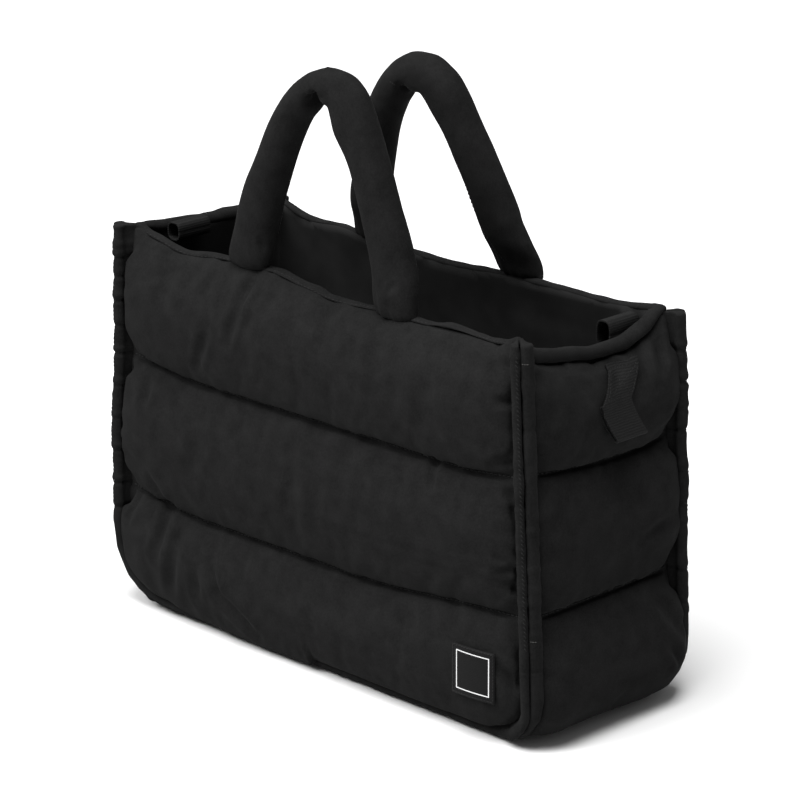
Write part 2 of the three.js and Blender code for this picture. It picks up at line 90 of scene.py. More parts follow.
def set_up_camera(azimuth=44.6, elevation=18.1, distance=2.355, lens=150.5):
    a, e = math.radians(azimuth), math.radians(elevation)
    back = Vector((math.sin(a) * math.cos(e), -math.cos(a) * math.cos(e), math.sin(e)))
    right = Vector((math.cos(a), math.sin(a), 0))
    up = back.cross(right)
    target = Vector((0, 0, 0.145)) + right * 0.0064 + up * 0.0352
    data = bpy.data.cameras.new("camera")
    data.lens = lens
    data.sensor_width = 36
    data.clip_end = 50
    camera = bpy.data.objects.new("camera", data)
    turn = Matrix((right, up, back)).transposed().to_4x4()
    camera.matrix_world = Matrix.Translation(target + back * distance) @ turn
    bpy.context.collection.objects.link(camera)
    bpy.context.scene.camera = camera


set_up_camera()


# Measures of the bag, for arrays of points

def between(low, high, share):
    return low + (high - low) * share


def smooth(value, low, high):
    share = np.clip((value - low) / (high - low), 0, 1)
    return share * share * (3 - 2 * share)


def bell(value, middle, width):
    return np.exp(-(((value - middle) / width) ** 2))


def height_share(z):
    return (z - BASE_SEAM) / (BODY_HEIGHT - BASE_SEAM)


def half_width(z):
    return between(BASE_HALF_WIDTH, TOP_HALF_WIDTH, height_share(z))


def half_depth(z):
    return between(BASE_HALF_DEPTH, TOP_HALF_DEPTH, height_share(z))


def rim_height(side, share):
    rows = RIM_DROP[side]
    drop = np.full_like(share, rows[0][1], dtype=float)
    for (low, first), (high, second) in zip(rows, rows[1:]):
        drop = np.where(share >= low, between(first, second, smooth(share, low, high)), drop)
    return BODY_HEIGHT - RIM_SAG * drop


def lean(most, share, z):
    rise = np.clip((z - QUILT_SEAMS[1]) / (BODY_HEIGHT - RIM_SAG - QUILT_SEAMS[1]), 0, 1) ** 2
    return most * (1 - np.abs(share) ** 3) * rise


def corner_radius(x, depth_share):
    """Radius of the lower corners, from the front panel at depth share 0 to the back panel at 1"""
    front = np.where(x < 0, *CORNER_RADIUS["front"])
    back = np.where(x < 0, *CORNER_RADIUS["back"])
    return between(front, back, depth_share)


def inside_outline(x, z, radius):
    """How far a point is inside the outline of the seams, seen from the front"""
    side = np.maximum(np.abs(x) - half_width(z) + radius, 0)
    under = np.maximum(BASE_SEAM + radius - z, 0)
    return radius - np.hypot(side, under)


def from_quilt_seam(z):
    return np.minimum(np.abs(z - QUILT_SEAMS[0]), np.abs(z - QUILT_SEAMS[1]))


def random_line(along, spacing, seed):
    """Smooth chance heights from -1 to 1 along a line, a new one at each spacing"""
    table = np.random.default_rng(seed).uniform(-1, 1, 997)
    place = along / spacing + 500
    low = np.floor(place).astype(int)
    share = smooth(place - low, 0, 1)
    return between(table[low % 997], table[(low + 1) % 997], share)


def lumps(points, spacing, seed, waves=9):
    """Soft chance lumps about as wide as the spacing, from -1 to 1"""
    chance = np.random.default_rng(seed)
    total = np.zeros(len(points))
    for _ in range(waves):
        way = chance.normal(size=3)
        way /= np.linalg.norm(way) * spacing * chance.uniform(1.4, 2.6) / (2 * math.pi)
        total += np.sin(points @ way + chance.uniform(0, 2 * math.pi))
    return total / math.sqrt(waves) / 1.4


# Mesh helpers

def select_only(piece):
    bpy.ops.object.select_all(action="DESELECT")
    piece.select_set(True)
    bpy.context.view_layer.objects.active = piece


def read_points(piece):
    points = np.empty(len(piece.data.vertices) * 3)
    piece.data.vertices.foreach_get("co", points)
    return points.reshape(-1, 3)


def read_normals(piece):
    normals = np.empty(len(piece.data.vertices) * 3)
    piece.data.vertex_normals.foreach_get("vector", normals)
    return normals.reshape(-1, 3)


def write_points(piece, points):
    piece.data.vertices.foreach_set("co", points.ravel())
    piece.data.update()


def push(piece, heights):
    """Moves each point of a piece out along its normal"""
    write_points(piece, read_points(piece) + read_normals(piece) * heights[:, None])


def apply_modifiers(piece):
    select_only(piece)
    for modifier in list(piece.modifiers):
        bpy.ops.object.modifier_apply(modifier=modifier.name)


def copy_of(node, name):
    """A new piece with the mesh of a node, merged and turned back from triangles to squares"""
    piece = bpy.data.objects.new(name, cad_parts[node].data.copy())
    bpy.context.collection.objects.link(piece)
    piece.data.materials.clear()
    select_only(piece)
    bpy.ops.object.mode_set(mode="EDIT")
    bpy.ops.mesh.select_all(action="SELECT")
    bpy.ops.mesh.remove_doubles(threshold=0.01 * MM)
    bpy.ops.mesh.tris_convert_to_quads(face_threshold=math.pi, shape_threshold=math.pi)
    bpy.ops.object.mode_set(mode="OBJECT")
    return piece


def even_net(piece, voxel):
    """Remeshes a piece to an even net"""
    remesh = piece.modifiers.new("net", "REMESH")
    remesh.mode = "VOXEL"
    remesh.voxel_size = voxel
    apply_modifiers(piece)
    return piece


def split_long_edges(piece, longest):
    """Cuts the long squares of a thin roll across, until none is longer than this"""
    select_only(piece)
    for _ in range(7):
        bpy.ops.object.mode_set(mode="EDIT")
        bpy.ops.mesh.select_mode(type="EDGE")
        bpy.ops.mesh.select_all(action="DESELECT")
        net = bmesh.from_edit_mesh(piece.data)
        chosen = [edge for edge in net.edges if edge.calc_length() > longest]
        for edge in chosen:
            edge.select_set(True)
        bmesh.update_edit_mesh(piece.data)
        if chosen:
            bpy.ops.mesh.subdivide(number_cuts=1)
        bpy.ops.object.mode_set(mode="OBJECT")
        if not chosen:
            break


def subdivide(piece):
    modifier = piece.modifiers.new("finer", "SUBSURF")
    modifier.levels = modifier.render_levels = 1
    apply_modifiers(piece)


def fill_with_wadding(pieces, pressure=4.0, frames=20):
    """Blows up each padded piece as cloth, held at its seams, and keeps the shape. Each row is the piece,
    how firmly each point is held, the spare cloth and the most that a point may move."""
    for piece, held, spare, _ in pieces:
        group = piece.vertex_groups.new(name="held")
        for step in range(11):
            chosen = np.nonzero(np.round(held * 10).astype(int) == step)[0]
            group.add(chosen.tolist(), step / 10, "REPLACE")
        cloth = piece.modifiers.new("cloth", "CLOTH")
        settings = cloth.settings
        settings.quality = 4
        settings.mass = 0.3
        settings.tension_stiffness = 12
        settings.compression_stiffness = 12
        settings.shear_stiffness = 4
        settings.bending_stiffness = 0.6
        settings.use_pressure = True
        settings.uniform_pressure_force = pressure
        settings.shrink_min = -spare
        settings.vertex_group_mass = "held"
        settings.effector_weights.gravity = 0
        cloth.collision_settings.use_collision = False
        cloth.point_cache.frame_start = 1
        cloth.point_cache.frame_end = frames
    before = [read_points(piece) for piece, *_ in pieces]
    for frame_number in range(1, frames + 1):
        bpy.context.scene.frame_set(frame_number)
    for (piece, held, spare, cap), start in zip(pieces, before):
        apply_modifiers(piece)
        piece.vertex_groups.clear()
        move = read_points(piece) - start
        length = np.linalg.norm(move, axis=1, keepdims=True)
        move *= np.tanh(length / cap) / np.maximum(length / cap, 1e-6)
        write_points(piece, start + move)
    bpy.context.scene.frame_set(1)


def press_creases(piece, creases, through=(0, 0, 0)):
    """Presses folds into a piece. Each row is the fold's two ends, its width and its depth, in mm. The
    folds of a flat face are measured flat, seen along the way through it."""
    points = read_points(piece)
    heights = np.zeros(len(points))
    flat = 1 - np.array(through)
    for start, end, width, depth in creases:
        start, end = np.array(start) * MM, np.array(end) * MM
        same_face = np.abs((points - start) @ through) < 30 * MM
        spots = points * flat
        start, end = start * flat, end * flat
        way = end - start
        length = np.linalg.norm(way)
        share = np.clip((spots - start) @ way / length ** 2, 0, 1)
        bow = np.sin(share * math.pi)[:, None] * np.array((0.04, 0, 0.03)) * length
        apart = np.linalg.norm(spots - start - share[:, None] * way - bow * flat, axis=1) / (width * MM)
        fade = np.sin(math.pi * between(0.08, 0.92, share)) ** 0.7
        profile = 0.45 * np.exp(-((apart - 1.9) ** 2)) - np.exp(-(apart ** 2))
        heights += same_face * depth * MM * fade * profile
    push(piece, heights)


def finish_piece(piece, material, nodes):
    piece.data.materials.clear()
    piece.data.materials.append(material)
    select_only(piece)
    bpy.ops.object.shade_smooth()
    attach(piece, "root")
    if nodes:
        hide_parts(*nodes)
    return piece


# Materials

def linear(code):
    """sRGB hex to linear colour"""
    parts = [int(code[k:k + 2], 16) / 255 for k in (1, 3, 5)]
    return (*(c / 12.92 if c <= 0.04045 else ((c + 0.055) / 1.055) ** 2.4 for c in parts), 1)


def add_node(tree, kind, settings=None, inputs=None, links=None):
    """Adds a node, sets its settings and inputs, and links its inputs to outputs of other nodes"""
    node = tree.nodes.new(kind)
    for name, value in (settings or {}).items():
        setattr(node, name, value)
    for name, value in (inputs or {}).items():
        node.inputs[name].default_value = value
    for name, (source, output) in (links or {}).items():
        tree.links.new(source.outputs[output], node.inputs[name])
    return node


def new_material(name):
    material = bpy.data.materials.new(name)
    material.use_nodes = True
    material.node_tree.nodes.clear()
    return material, material.node_tree


def brushed_microfibre():
    # Polyester microfibre with a brushed, peached face: dead matt, with a short nap that scatters a little
    # light at grazing angles and wears into faint paler and darker patches.
    material, tree = new_material("brushed_polyester_microfibre")
    place = add_node(tree, "ShaderNodeTexCoord")
    # Nap tufts are about 0.3 mm wide. They are drawn 1.1 mm wide so that they show.
    nap = add_node(tree, "ShaderNodeTexNoise", inputs={"Scale": 900, "Detail": 3, "Roughness": 0.6},
                   links={"Vector": (place, "Object")})
    # Patches where the nap lies another way, about 14 mm wide
    patches = add_node(tree, "ShaderNodeTexNoise", inputs={"Scale": 70, "Detail": 4, "Roughness": 0.62},
                       links={"Vector": (place, "Object")})
    lie = add_node(tree, "ShaderNodeMath", {"operation": "MULTIPLY_ADD"}, {1: 0.6, 2: 0.0},
                   {0: (nap, "Fac")})
    mixed = add_node(tree, "ShaderNodeMath", {"operation": "MULTIPLY_ADD"}, {1: 0.5},
                     {0: (patches, "Fac"), 2: (lie, "Value")})
    shade = add_node(tree, "ShaderNodeValToRGB", links={"Fac": (mixed, "Value")})
    shade.color_ramp.elements[0].position = 0.34
    shade.color_ramp.elements[0].color = linear("#0e0e0e")
    shade.color_ramp.elements[1].position = 0.76
    shade.color_ramp.elements[1].color = linear("#1b1b1b")
    bump = add_node(tree, "ShaderNodeBump", inputs={"Strength": 0.35, "Distance": 0.15 * MM},
                    links={"Height": (nap, "Fac")})
    shader = add_node(tree, "ShaderNodeBsdfPrincipled",
                      inputs={"Roughness": 0.93, "Specular IOR Level": 0.035, "Sheen Weight": 0.008,
                              "Sheen Roughness": 0.4, "Sheen Tint": (0.8, 0.8, 0.8, 1)},
                      links={"Base Color": (shade, "Color"), "Normal": (bump, "Normal")})
    add_node(tree, "ShaderNodeOutputMaterial", links={"Surface": (shader, "BSDF")})
    return material


def plain_woven_lining():
    # Plain woven polyester lining: thin, smooth and a little darker than the face cloth, with a fine
    # square weave that only shows as a slight grain.
    material, tree = new_material("plain_woven_polyester_lining")
    place = add_node(tree, "ShaderNodeTexCoord")
    grain = add_node(tree, "ShaderNodeTexNoise", inputs={"Scale": 1100, "Detail": 2},
                     links={"Vector": (place, "Object")})
    patches = add_node(tree, "ShaderNodeTexNoise", inputs={"Scale": 40, "Detail": 3},
                       links={"Vector": (place, "Object")})
    shade = add_node(tree, "ShaderNodeValToRGB", links={"Fac": (patches, "Fac")})
    shade.color_ramp.elements[0].position = 0.3
    shade.color_ramp.elements[0].color = linear("#121212")
    shade.color_ramp.elements[1].position = 0.7
    shade.color_ramp.elements[1].color = linear("#191919")
    bump = add_node(tree, "ShaderNodeBump", inputs={"Strength": 0.3, "Distance": 0.1 * MM},
                    links={"Height": (grain, "Fac")})
    shader = add_node(tree, "ShaderNodeBsdfPrincipled",
                      inputs={"Roughness": 0.85, "Specular IOR Level": 0.06},
                      links={"Base Color": (shade, "Color"), "Normal": (bump, "Normal")})
    add_node(tree, "ShaderNodeOutputMaterial", links={"Surface": (shader, "BSDF")})
    return material


def ribbed_webbing():
    # Woven nylon webbing: ribs of thick weft across it every 1.5 mm, crossed by warp ends, with the
    # slight gloss of filament yarn on the crowns.
    material, tree = new_material("ribbed_nylon_webbing")
    place = add_node(tree, "ShaderNodeTexCoord")
    ribs = add_node(tree, "ShaderNodeTexWave", {"bands_direction": "Z", "wave_profile": "SIN"},
                    {"Scale": 200, "Distortion": 3, "Detail": 3, "Detail Scale": 3},
                    {"Vector": (place, "Object")})
    warp = add_node(tree, "ShaderNodeTexWave", {"bands_direction": "Y", "wave_profile": "SIN"},
                    {"Scale": 300, "Distortion": 0.8, "Detail": 2, "Detail Scale": 3},
                    {"Vector": (place, "Object")})
    weave = add_node(tree, "ShaderNodeMath", {"operation": "MULTIPLY"},
                     links={0: (ribs, "Fac"), 1: (warp, "Fac")})
    shade = add_node(tree, "ShaderNodeValToRGB", links={"Fac": (weave, "Value")})
    shade.color_ramp.elements[0].color = linear("#0a0a0a")
    shade.color_ramp.elements[1].color = linear("#1b1b1b")
    bump = add_node(tree, "ShaderNodeBump", inputs={"Strength": 0.8, "Distance": 0.3 * MM},
                    links={"Height": (weave, "Value")})
    shader = add_node(tree, "ShaderNodeBsdfPrincipled",
                      inputs={"Roughness": 0.72, "Specular IOR Level": 0.1},
                      links={"Base Color": (shade, "Color"), "Normal": (bump, "Normal")})
    add_node(tree, "ShaderNodeOutputMaterial", links={"Surface": (shader, "BSDF")})
    return material


def spun_thread(name, dark, pale):
    # Spun polyester thread: matt, with a fine twist that breaks up the light along each stitch
    material, tree = new_material(name)
    place = add_node(tree, "ShaderNodeTexCoord")
    twist = add_node(tree, "ShaderNodeTexNoise", inputs={"Scale": 2500, "Detail": 1},
                     links={"Vector": (place, "Object")})
    shade = add_node(tree, "ShaderNodeValToRGB", links={"Fac": (twist, "Fac")})
    shade.color_ramp.elements[0].position = 0.35
    shade.color_ramp.elements[0].color = linear(dark)
    shade.color_ramp.elements[1].position = 0.65
    shade.color_ramp.elements[1].color = linear(pale)
    shader = add_node(tree, "ShaderNodeBsdfPrincipled",
                      inputs={"Roughness": 0.8, "Specular IOR Level": 0.08},
                      links={"Base Color": (shade, "Color")})
    add_node(tree, "ShaderNodeOutputMaterial", links={"Surface": (shader, "BSDF")})
    return material


def woven_label():
    # Damask woven label: a smooth dense satin ground, a little shinier than the cloth round it, with one
    # thin pale frame woven in near its edge.
    material, tree = new_material("damask_woven_label")
    spot = add_node(tree, "ShaderNodeUVMap")
    apart = add_node(tree, "ShaderNodeSeparateXYZ", links={"Vector": (spot, "UV")})
    sides = []
    for axis in ("X", "Y"):
        middle = add_node(tree, "ShaderNodeMath", {"operation": "SUBTRACT"}, {1: 0.5}, {0: (apart, axis)})
        sides.append(add_node(tree, "ShaderNodeMath", {"operation": "ABSOLUTE"},
                              links={0: (middle, "Value")}))
    out = add_node(tree, "ShaderNodeMath", {"operation": "MAXIMUM"},
                   links={0: (sides[0], "Value"), 1: (sides[1], "Value")})
    # The frame is 0.7 mm wide and 4.5 mm in from the edge of the 36 mm patch
    frame_line = add_node(tree, "ShaderNodeMath", {"operation": "COMPARE"}, {1: 0.375, 2: 0.0105},
                          {0: (out, "Value")})
    # Satin floats run across the label. They are 0.15 mm apart and are drawn 0.6 mm apart.
    floats = add_node(tree, "ShaderNodeTexWave", {"bands_direction": "Y"},
                      {"Scale": 9.5, "Distortion": 1.2, "Detail": 2}, {"Vector": (spot, "UV")})
    ground = add_node(tree, "ShaderNodeValToRGB", links={"Fac": (floats, "Fac")})
    ground.color_ramp.elements[0].color = linear("#080808")
    ground.color_ramp.elements[1].color = linear("#101010")
    shade = add_node(tree, "ShaderNodeMix", {"data_type": "RGBA"}, {"B": linear("#c9c9c9")},
                     {"Factor": (frame_line, "Value"), "A": (ground, "Color")})
    bump = add_node(tree, "ShaderNodeBump", inputs={"Strength": 0.2, "Distance": 0.1 * MM},
                    links={"Height": (floats, "Fac")})
    shader = add_node(tree, "ShaderNodeBsdfPrincipled",
                      inputs={"Roughness": 0.6, "Specular IOR Level": 0.08},
                      links={"Base Color": (shade, "Result"), "Normal": (bump, "Normal")})
    add_node(tree, "ShaderNodeOutputMaterial", links={"Surface": (shader, "BSDF")})
    return material


SHELL = brushed_microfibre()
LINING = plain_woven_lining()
WEBBING = ribbed_webbing()
LABEL = woven_label()
THREAD = spun_thread("spun_polyester_thread", "#121212", "#262626")
# The bar tacks' thread is coloured paler than the other thread
PALE_THREAD = spun_thread("spun_polyester_thread_paler", "#262626", "#3e3e3c")


# Padded panels

def panel_measures(side, points):
    x, y, z = points.T
    share = x / half_width(z)
    seam = half_depth(z) - lean(PANEL_LEAN, share, z)
    out = SIDE[side] * y - seam
    edge = inside_outline(x, z, corner_radius(x, 0 if side == "front" else 1))
    below_rim = rim_height(side, share) - 4 * MM - z
    return out, edge, below_rim


def padded_panel(side):
    piece = even_net(copy_of(f"{side}_panel", f"{side}_quilted_panel"), PANEL_NET)
    points = read_points(piece)
    out, edge, below_rim = panel_measures(side, points)
    points[:, 1] -= SIDE[side] * 0.2 * np.maximum(out, 0)
    write_points(piece, points)
    inner = smooth(-out, 0.5 * MM, 3 * MM)
    border = 1 - smooth(np.minimum(edge, below_rim), 3 * MM, 8 * MM)
    seam = 1 - smooth(from_quilt_seam(points[:, 2]), 2 * MM, 5 * MM)
    return piece, np.maximum(inner, np.maximum(border, seam)), 0.008, 7 * MM


def gusset_measures(points):
    x, y, z = points.T
    depth_share = np.clip(0.5 + y / (2 * half_depth(z)), 0, 1)
    inside = inside_outline(x, z, corner_radius(x, depth_share))
    share = y / half_depth(z)
    inside -= lean(END_LEAN, share, z)
    edge = half_depth(z) - np.abs(y)
    top = np.where(x < 0, rim_height("left", share), rim_height("right", share))
    return inside, edge, top - 9 * MM - z


def padded_gusset():
    piece = even_net(copy_of("gusset", "quilted_gusset"), PANEL_NET)
    points = read_points(piece)
    inside, edge, below_rim = gusset_measures(points)
    inner = smooth(inside, 0.5 * MM, 3 * MM)
    border = 1 - smooth(np.minimum(edge, below_rim), 3 * MM, 8 * MM)
    at_end = np.abs(points[:, 0]) > 150 * MM
    seam = at_end * (1 - smooth(from_quilt_seam(points[:, 2]), 2 * MM, 5 * MM))
    base = 1 - smooth(points[:, 2], 4 * MM, 14 * MM)
    return piece, np.maximum.reduce((inner, border, seam, base)), 0.008, 6 * MM


def padded_handle(side):
    piece = even_net(copy_of(f"handle_{side}", f"{side}_handle"), HANDLE_NET)
    z = read_points(piece)[:, 2]
    held = 1 - smooth(z - BODY_HEIGHT, -6 * MM, 10 * MM)
    return piece, held, 0.03, 2 * MM


padding = {
    "front": padded_panel("front"),
    "back": padded_panel("back"),
    "gusset": padded_gusset(),
    "front_handle": padded_handle("front"),
    "back_handle": padded_handle("back"),
}
fill_with_wadding(list(padding.values()))
front_panel, back_panel, gusset, front_handle, back_handle = (row[0] for row in padding.values())


def tighten_seams(points, from_seam, face, above):
    """Rolls the wadding over each quilt seam, so that the seam lies in a narrow deep valley"""
    crown = smooth(from_seam, 1.0 * MM, 5 * MM) * (1 - smooth(from_seam, 7 * MM, 26 * MM))
    closing = smooth(from_seam, 1.5 * MM, 6 * MM) * (1 - smooth(from_seam, 8 * MM, 20 * MM))
    points[:, 2] -= above * closing * face * 1.3 * MM
    return 1.8 * MM * crown * face


def above_seam(z):
    """1 over the nearest quilt seam and -1 under it"""
    nearest = np.where(np.abs(z - QUILT_SEAMS[0]) < np.abs(z - QUILT_SEAMS[1]), *QUILT_SEAMS)
    return np.sign(z - nearest)


def way_out(x, z, radius):
    """Direction out of the seam outline, seen from the front"""
    across = np.maximum(np.abs(x) - half_width(z) + radius, 1e-6) * np.sign(x)
    down = -np.maximum(BASE_SEAM + radius - z, 0)
    length = np.hypot(across, down)
    return across / length, down / length


def set_rim(points):
    """The small rises and dips of the mouth: the front and back rims between the handles, the sag at the
    front left, the left end, and the back right corner, where the end is folded up to the flange"""
    x, y, z = points.T
    front, back = smooth(-y, 40 * MM, 52 * MM), smooth(y, 40 * MM, 52 * MM)
    rise = 2.6 * front * bell(x, -8 * MM, 17 * MM) - 5 * front * bell(x, -140 * MM, 24 * MM)
    rise += 3.5 * back * bell(x, -108 * MM, 24 * MM)
    rise += 4 * smooth(x, 146 * MM, 186 * MM) * smooth(y, 50 * MM, 70 * MM)
    rise += 3 * smooth(-x, 150 * MM, 185 * MM) * (0.4 + 0.6 * smooth(y, -60 * MM, 60 * MM))
    points[:, 2] += rise * MM * smooth(z, 225 * MM, 268 * MM) * (z < 300 * MM)


def sag_seams(points):
    """Lets the quilt seams sag between the corners, most on the front and back"""
    x, y, z = points.T
    upper = 7 - np.where(x < 0, 7 * smooth(-x, 110 * MM, 190 * MM), 4 * smooth(x, 140 * MM, 190 * MM))
    lower = 10.5 - np.where(x < 0, 8.5 * smooth(-x, 110 * MM, 195 * MM), 10.5 * smooth(x, 40 * MM, 190 * MM))
    sag = between(lower, upper, smooth(z, *QUILT_SEAMS))
    at_end = smooth(np.abs(x), 175 * MM, 190 * MM) * (np.abs(y) < 72 * MM)
    end_sag = between(0.5, 3 + 4 * smooth(y, -70 * MM, 20 * MM), smooth(z, *QUILT_SEAMS))
    sag = between(sag, np.maximum(end_sag * (1 - (y / (74 * MM)) ** 4), 0), at_end)
    points[:, 2] -= sag * MM * smooth(z, 15 * MM, 75 * MM) * (1 - smooth(z, 205 * MM, 268 * MM))


def fill_corners(points):
    """Fills out the lower corners at the front left and the back right"""
    x, y, z = points.T
    out_x, out_z = way_out(x, z, corner_radius(x, np.clip(0.5 + y / (2 * half_depth(z)), 0, 1)))
    most = np.where(x < 0, 3 * smooth(-y, -20 * MM, 60 * MM), 5 * smooth(y, -40 * MM, 50 * MM))
    amount = np.where(z < 70 * MM, 2 * np.abs(out_x * out_z) * most, 0) * MM
    points[:, 0] += out_x * amount
    points[:, 2] += np.where(z > 3 * MM, out_z * amount, 0)
    points[:, 2] = np.maximum(points[:, 2], 0)


def draw_out(piece, side):
    """Pulls the edge of a panel out to its seam, where the remesh rounded it off"""
    points = read_points(piece)
    x, y, z = points.T
    radius = corner_radius(x, 0 if side == "front" else 1)
    inside = inside_outline(x, z, radius)
    near = 1 - smooth(inside, 0, 7 * MM)
    out_x, out_z = way_out(x, z, radius)
    out, _, below_rim = panel_measures(side, points)
    full = smooth(from_quilt_seam(z), 5 * MM, 22 * MM) * smooth(below_rim, 6 * MM, 24 * MM)
    reach = np.where(x < 0, 14 - 5 * smooth(z, *QUILT_SEAMS), 4)
    over = full * smooth(out, 2 * MM, 8 * MM) * (1 - smooth(inside, 12 * MM, 34 * MM)) * reach
    top = near * (1 - smooth(below_rim, 0, 10 * MM))
    corner = (1 - smooth(inside, 5 * MM, 20 * MM)) * (1 - smooth(below_rim, 0, 10 * MM))
    points[:, 0] += out_x * (near * 2.2 + top * 2.5 + over) * MM
    points[:, 2] += (out_z * (near * 1.5 + 0.6 * over) + top * 2 + corner * 5) * MM
    sag_seams(points)
    set_rim(points)
    fill_corners(points)
    write_points(piece, points)


def pucker_panel(side, piece):
    """Gathers where the thread pulls the cloth in along the quilt seams and the side seams"""
    subdivide(piece)
    points = read_points(piece)
    x, _, z = points.T
    out, edge, below_rim = panel_measures(side, points)
    face = smooth(out, 0, 4 * MM)
    from_seam = from_quilt_seam(z)
    rolled = tighten_seams(points, from_seam, smooth(out, -1 * MM, 2 * MM), above_seam(z))
    write_points(piece, points)
    push(piece, rolled * smooth(edge, 4 * MM, 16 * MM))
    points = read_points(piece)
    x, _, z = points.T
    seed = 11 if side == "front" else 12
    slant = x + 0.5 * from_seam * random_line(x, 22 * MM, seed)
    strength = 0.25 + 0.75 * smooth(random_line(x, 33 * MM, seed + 8), -0.1, 0.7)
    pulls = random_line(slant, 7 * MM, seed + 1) * np.exp(-from_seam / (9 * MM)) * strength
    slant = z + 0.35 * edge * random_line(z, 15 * MM, seed + 2)
    strength = 0.3 + 0.7 * smooth(random_line(z, 30 * MM, seed + 3), -0.3, 0.6)
    strength *= np.where(x > 0, 1.5, 1)
    side_pulls = random_line(slant, 7 * MM, seed + 4) * np.exp(-edge / (13 * MM)) * strength
    top_pulls = random_line(x, 12 * MM, seed + 5) * np.exp(-np.abs(below_rim) / (12 * MM))
    heights = 0.8 * MM * pulls + 2.6 * MM * side_pulls + 0.5 * MM * top_pulls
    flat = points * np.array((1.6, 1, 0.55))
    heights += 0.3 * MM * lumps(flat, 36 * MM, seed + 6) + 0.1 * MM * lumps(flat, 12 * MM, seed + 7)
    push(piece, heights * face)
    draw_out(piece, side)
    if side == "front":
        points = read_points(piece)
        x, y, z = points.T
        hang = smooth(out, 0.5 * MM, 7 * MM) * (1 - smooth(z, 13 * MM, 52 * MM))
        points[:, 2] -= 3 * MM * hang * smooth(x, -160 * MM, -110 * MM)
        write_points(piece, points)


def pucker_gusset(piece):
    """Gathers on the gusset, which is also pushed out sideways over its seams and at the lower right"""
    subdivide(piece)
    points = read_points(piece)
    x, y, z = points.T
    inside, edge, below_rim = gusset_measures(points)
    face = smooth(-inside, 0, 4 * MM) * smooth(z, 2 * MM, 8 * MM)
    at_end = np.abs(x) > 150 * MM
    from_seam = np.where(at_end, from_quilt_seam(z), 1)
    rolled = tighten_seams(points, from_seam, smooth(-inside, -1 * MM, 2 * MM) * at_end, above_seam(z))
    write_points(piece, points)
    push(piece, rolled * smooth(edge, 4 * MM, 16 * MM))
    points = read_points(piece)
    x, y, z = points.T
    pulls = random_line(y + 0.4 * from_seam, 6 * MM, 31) * np.exp(-from_seam / (9 * MM))
    side_pulls = random_line(z + 0.3 * edge, 8 * MM, 32) * np.exp(-edge / (10 * MM))
    under_rim = random_line(y, 12 * MM, 35) * np.exp(-np.abs(below_rim) / (12 * MM))
    inside, edge, below_rim = gusset_measures(points)
    full = np.where(at_end, smooth(from_quilt_seam(z), 5 * MM, 24 * MM), 0.6)
    full = full * smooth(below_rim, 6 * MM, 22 * MM)
    shoulder = full * smooth(edge, 2 * MM, 9 * MM) * (1 - smooth(edge, 16 * MM, 38 * MM))
    sideways = full * smooth(-inside, 2 * MM, 7 * MM) * (1 - smooth(edge, 8 * MM, 26 * MM))
    sideways = sideways * np.where(y > 0, 7, 4)
    top = (1 - smooth(edge, 0, 8 * MM)) * (1 - smooth(below_rim, 0, 10 * MM))
    sideways += (1 - smooth(edge, 0, 6 * MM)) * 1.8 + top * 2.5
    points[:, 1] += np.sign(y) * sideways * MM
    points[:, 2] += top * 4.5 * MM
    sag_seams(points)
    set_rim(points)
    points[:, 0] += 5 * MM * (x > 150 * MM) * smooth(-inside, 0, 6 * MM) * (1 - smooth(z, 25 * MM, 80 * MM))
    fill_corners(points)
    write_points(piece, points)
    heights = 0.7 * MM * pulls + 1.7 * MM * side_pulls + 0.5 * MM * under_rim + 2.2 * MM * shoulder
    heights += 0.35 * MM * lumps(points, 30 * MM, 33) + 0.1 * MM * lumps(points, 11 * MM, 34)
    push(piece, heights * face)


def shape_handle(piece, seed, fold_x, bulge, fold, filled, shift, drop):
    """Sets a handle over to the left and down, folds in the inside of its bend, fills the bend each side
    of the fold and the top of its right leg, then wrinkles the cloth"""
    rounder = piece.modifiers.new("rounder", "SMOOTH")
    rounder.factor = 0.5
    rounder.iterations = 12
    subdivide(piece)
    push(piece, np.full(len(piece.data.vertices), 0.9 * MM))
    points = read_points(piece)
    normals = read_normals(piece)
    x, y, z = points.T
    inner = smooth(-normals[:, 2], 0.15, 0.75) * smooth(z, 385 * MM, 402 * MM)
    apart = np.abs(x - fold_x)
    leg = smooth(-normals[:, 0], 0.1, 0.7) * smooth(x, fold_x + 8 * MM, fold_x + 20 * MM)
    heights = filled * leg * bell(z, 392 * MM, 16 * MM) - fold * inner * bell(x, fold_x, 6 * MM)
    points[:, 0] -= shift * (0.45 + 0.55 * smooth(z, 285 * MM, 395 * MM))
    in_front = y[0] < 0
    foot = 1 - smooth(z, 276 * MM, 298 * MM)
    points[:, 2] -= drop * smooth(z, 360 * MM, 420 * MM) + (8 if in_front else 2) * MM * foot
    points[:, 1] += (-2.5 if in_front else 5) * MM * (1 - smooth(z, 280 * MM, 305 * MM))
    rim_line = points.copy()
    rim_line[:, 2] = rim_height("front" if in_front else "back", x / TOP_HALF_WIDTH)
    rim_line[:, 1] = -60 * MM if in_front else 60 * MM
    set_rim(rim_line)
    points[:, 2] = np.maximum(points[:, 2], rim_line[:, 2] - (6.8 if in_front else 3) * MM)
    write_points(piece, points)
    push(piece, heights)
    points = read_points(piece)
    x, _, z = points.T
    heights = bulge * inner * smooth(apart, 2 * MM, 8 * MM) * (1 - smooth(apart, 9 * MM, 26 * MM))
    heights += 0.25 * MM * lumps(points * np.array((1, 1, 0.6)), 16 * MM, seed)
    gather = np.exp(-np.maximum(z - 285 * MM, 0) / (9 * MM))
    heights += 0.5 * MM * gather * random_line(x, 4 * MM, seed + 1)
    push(piece, heights)


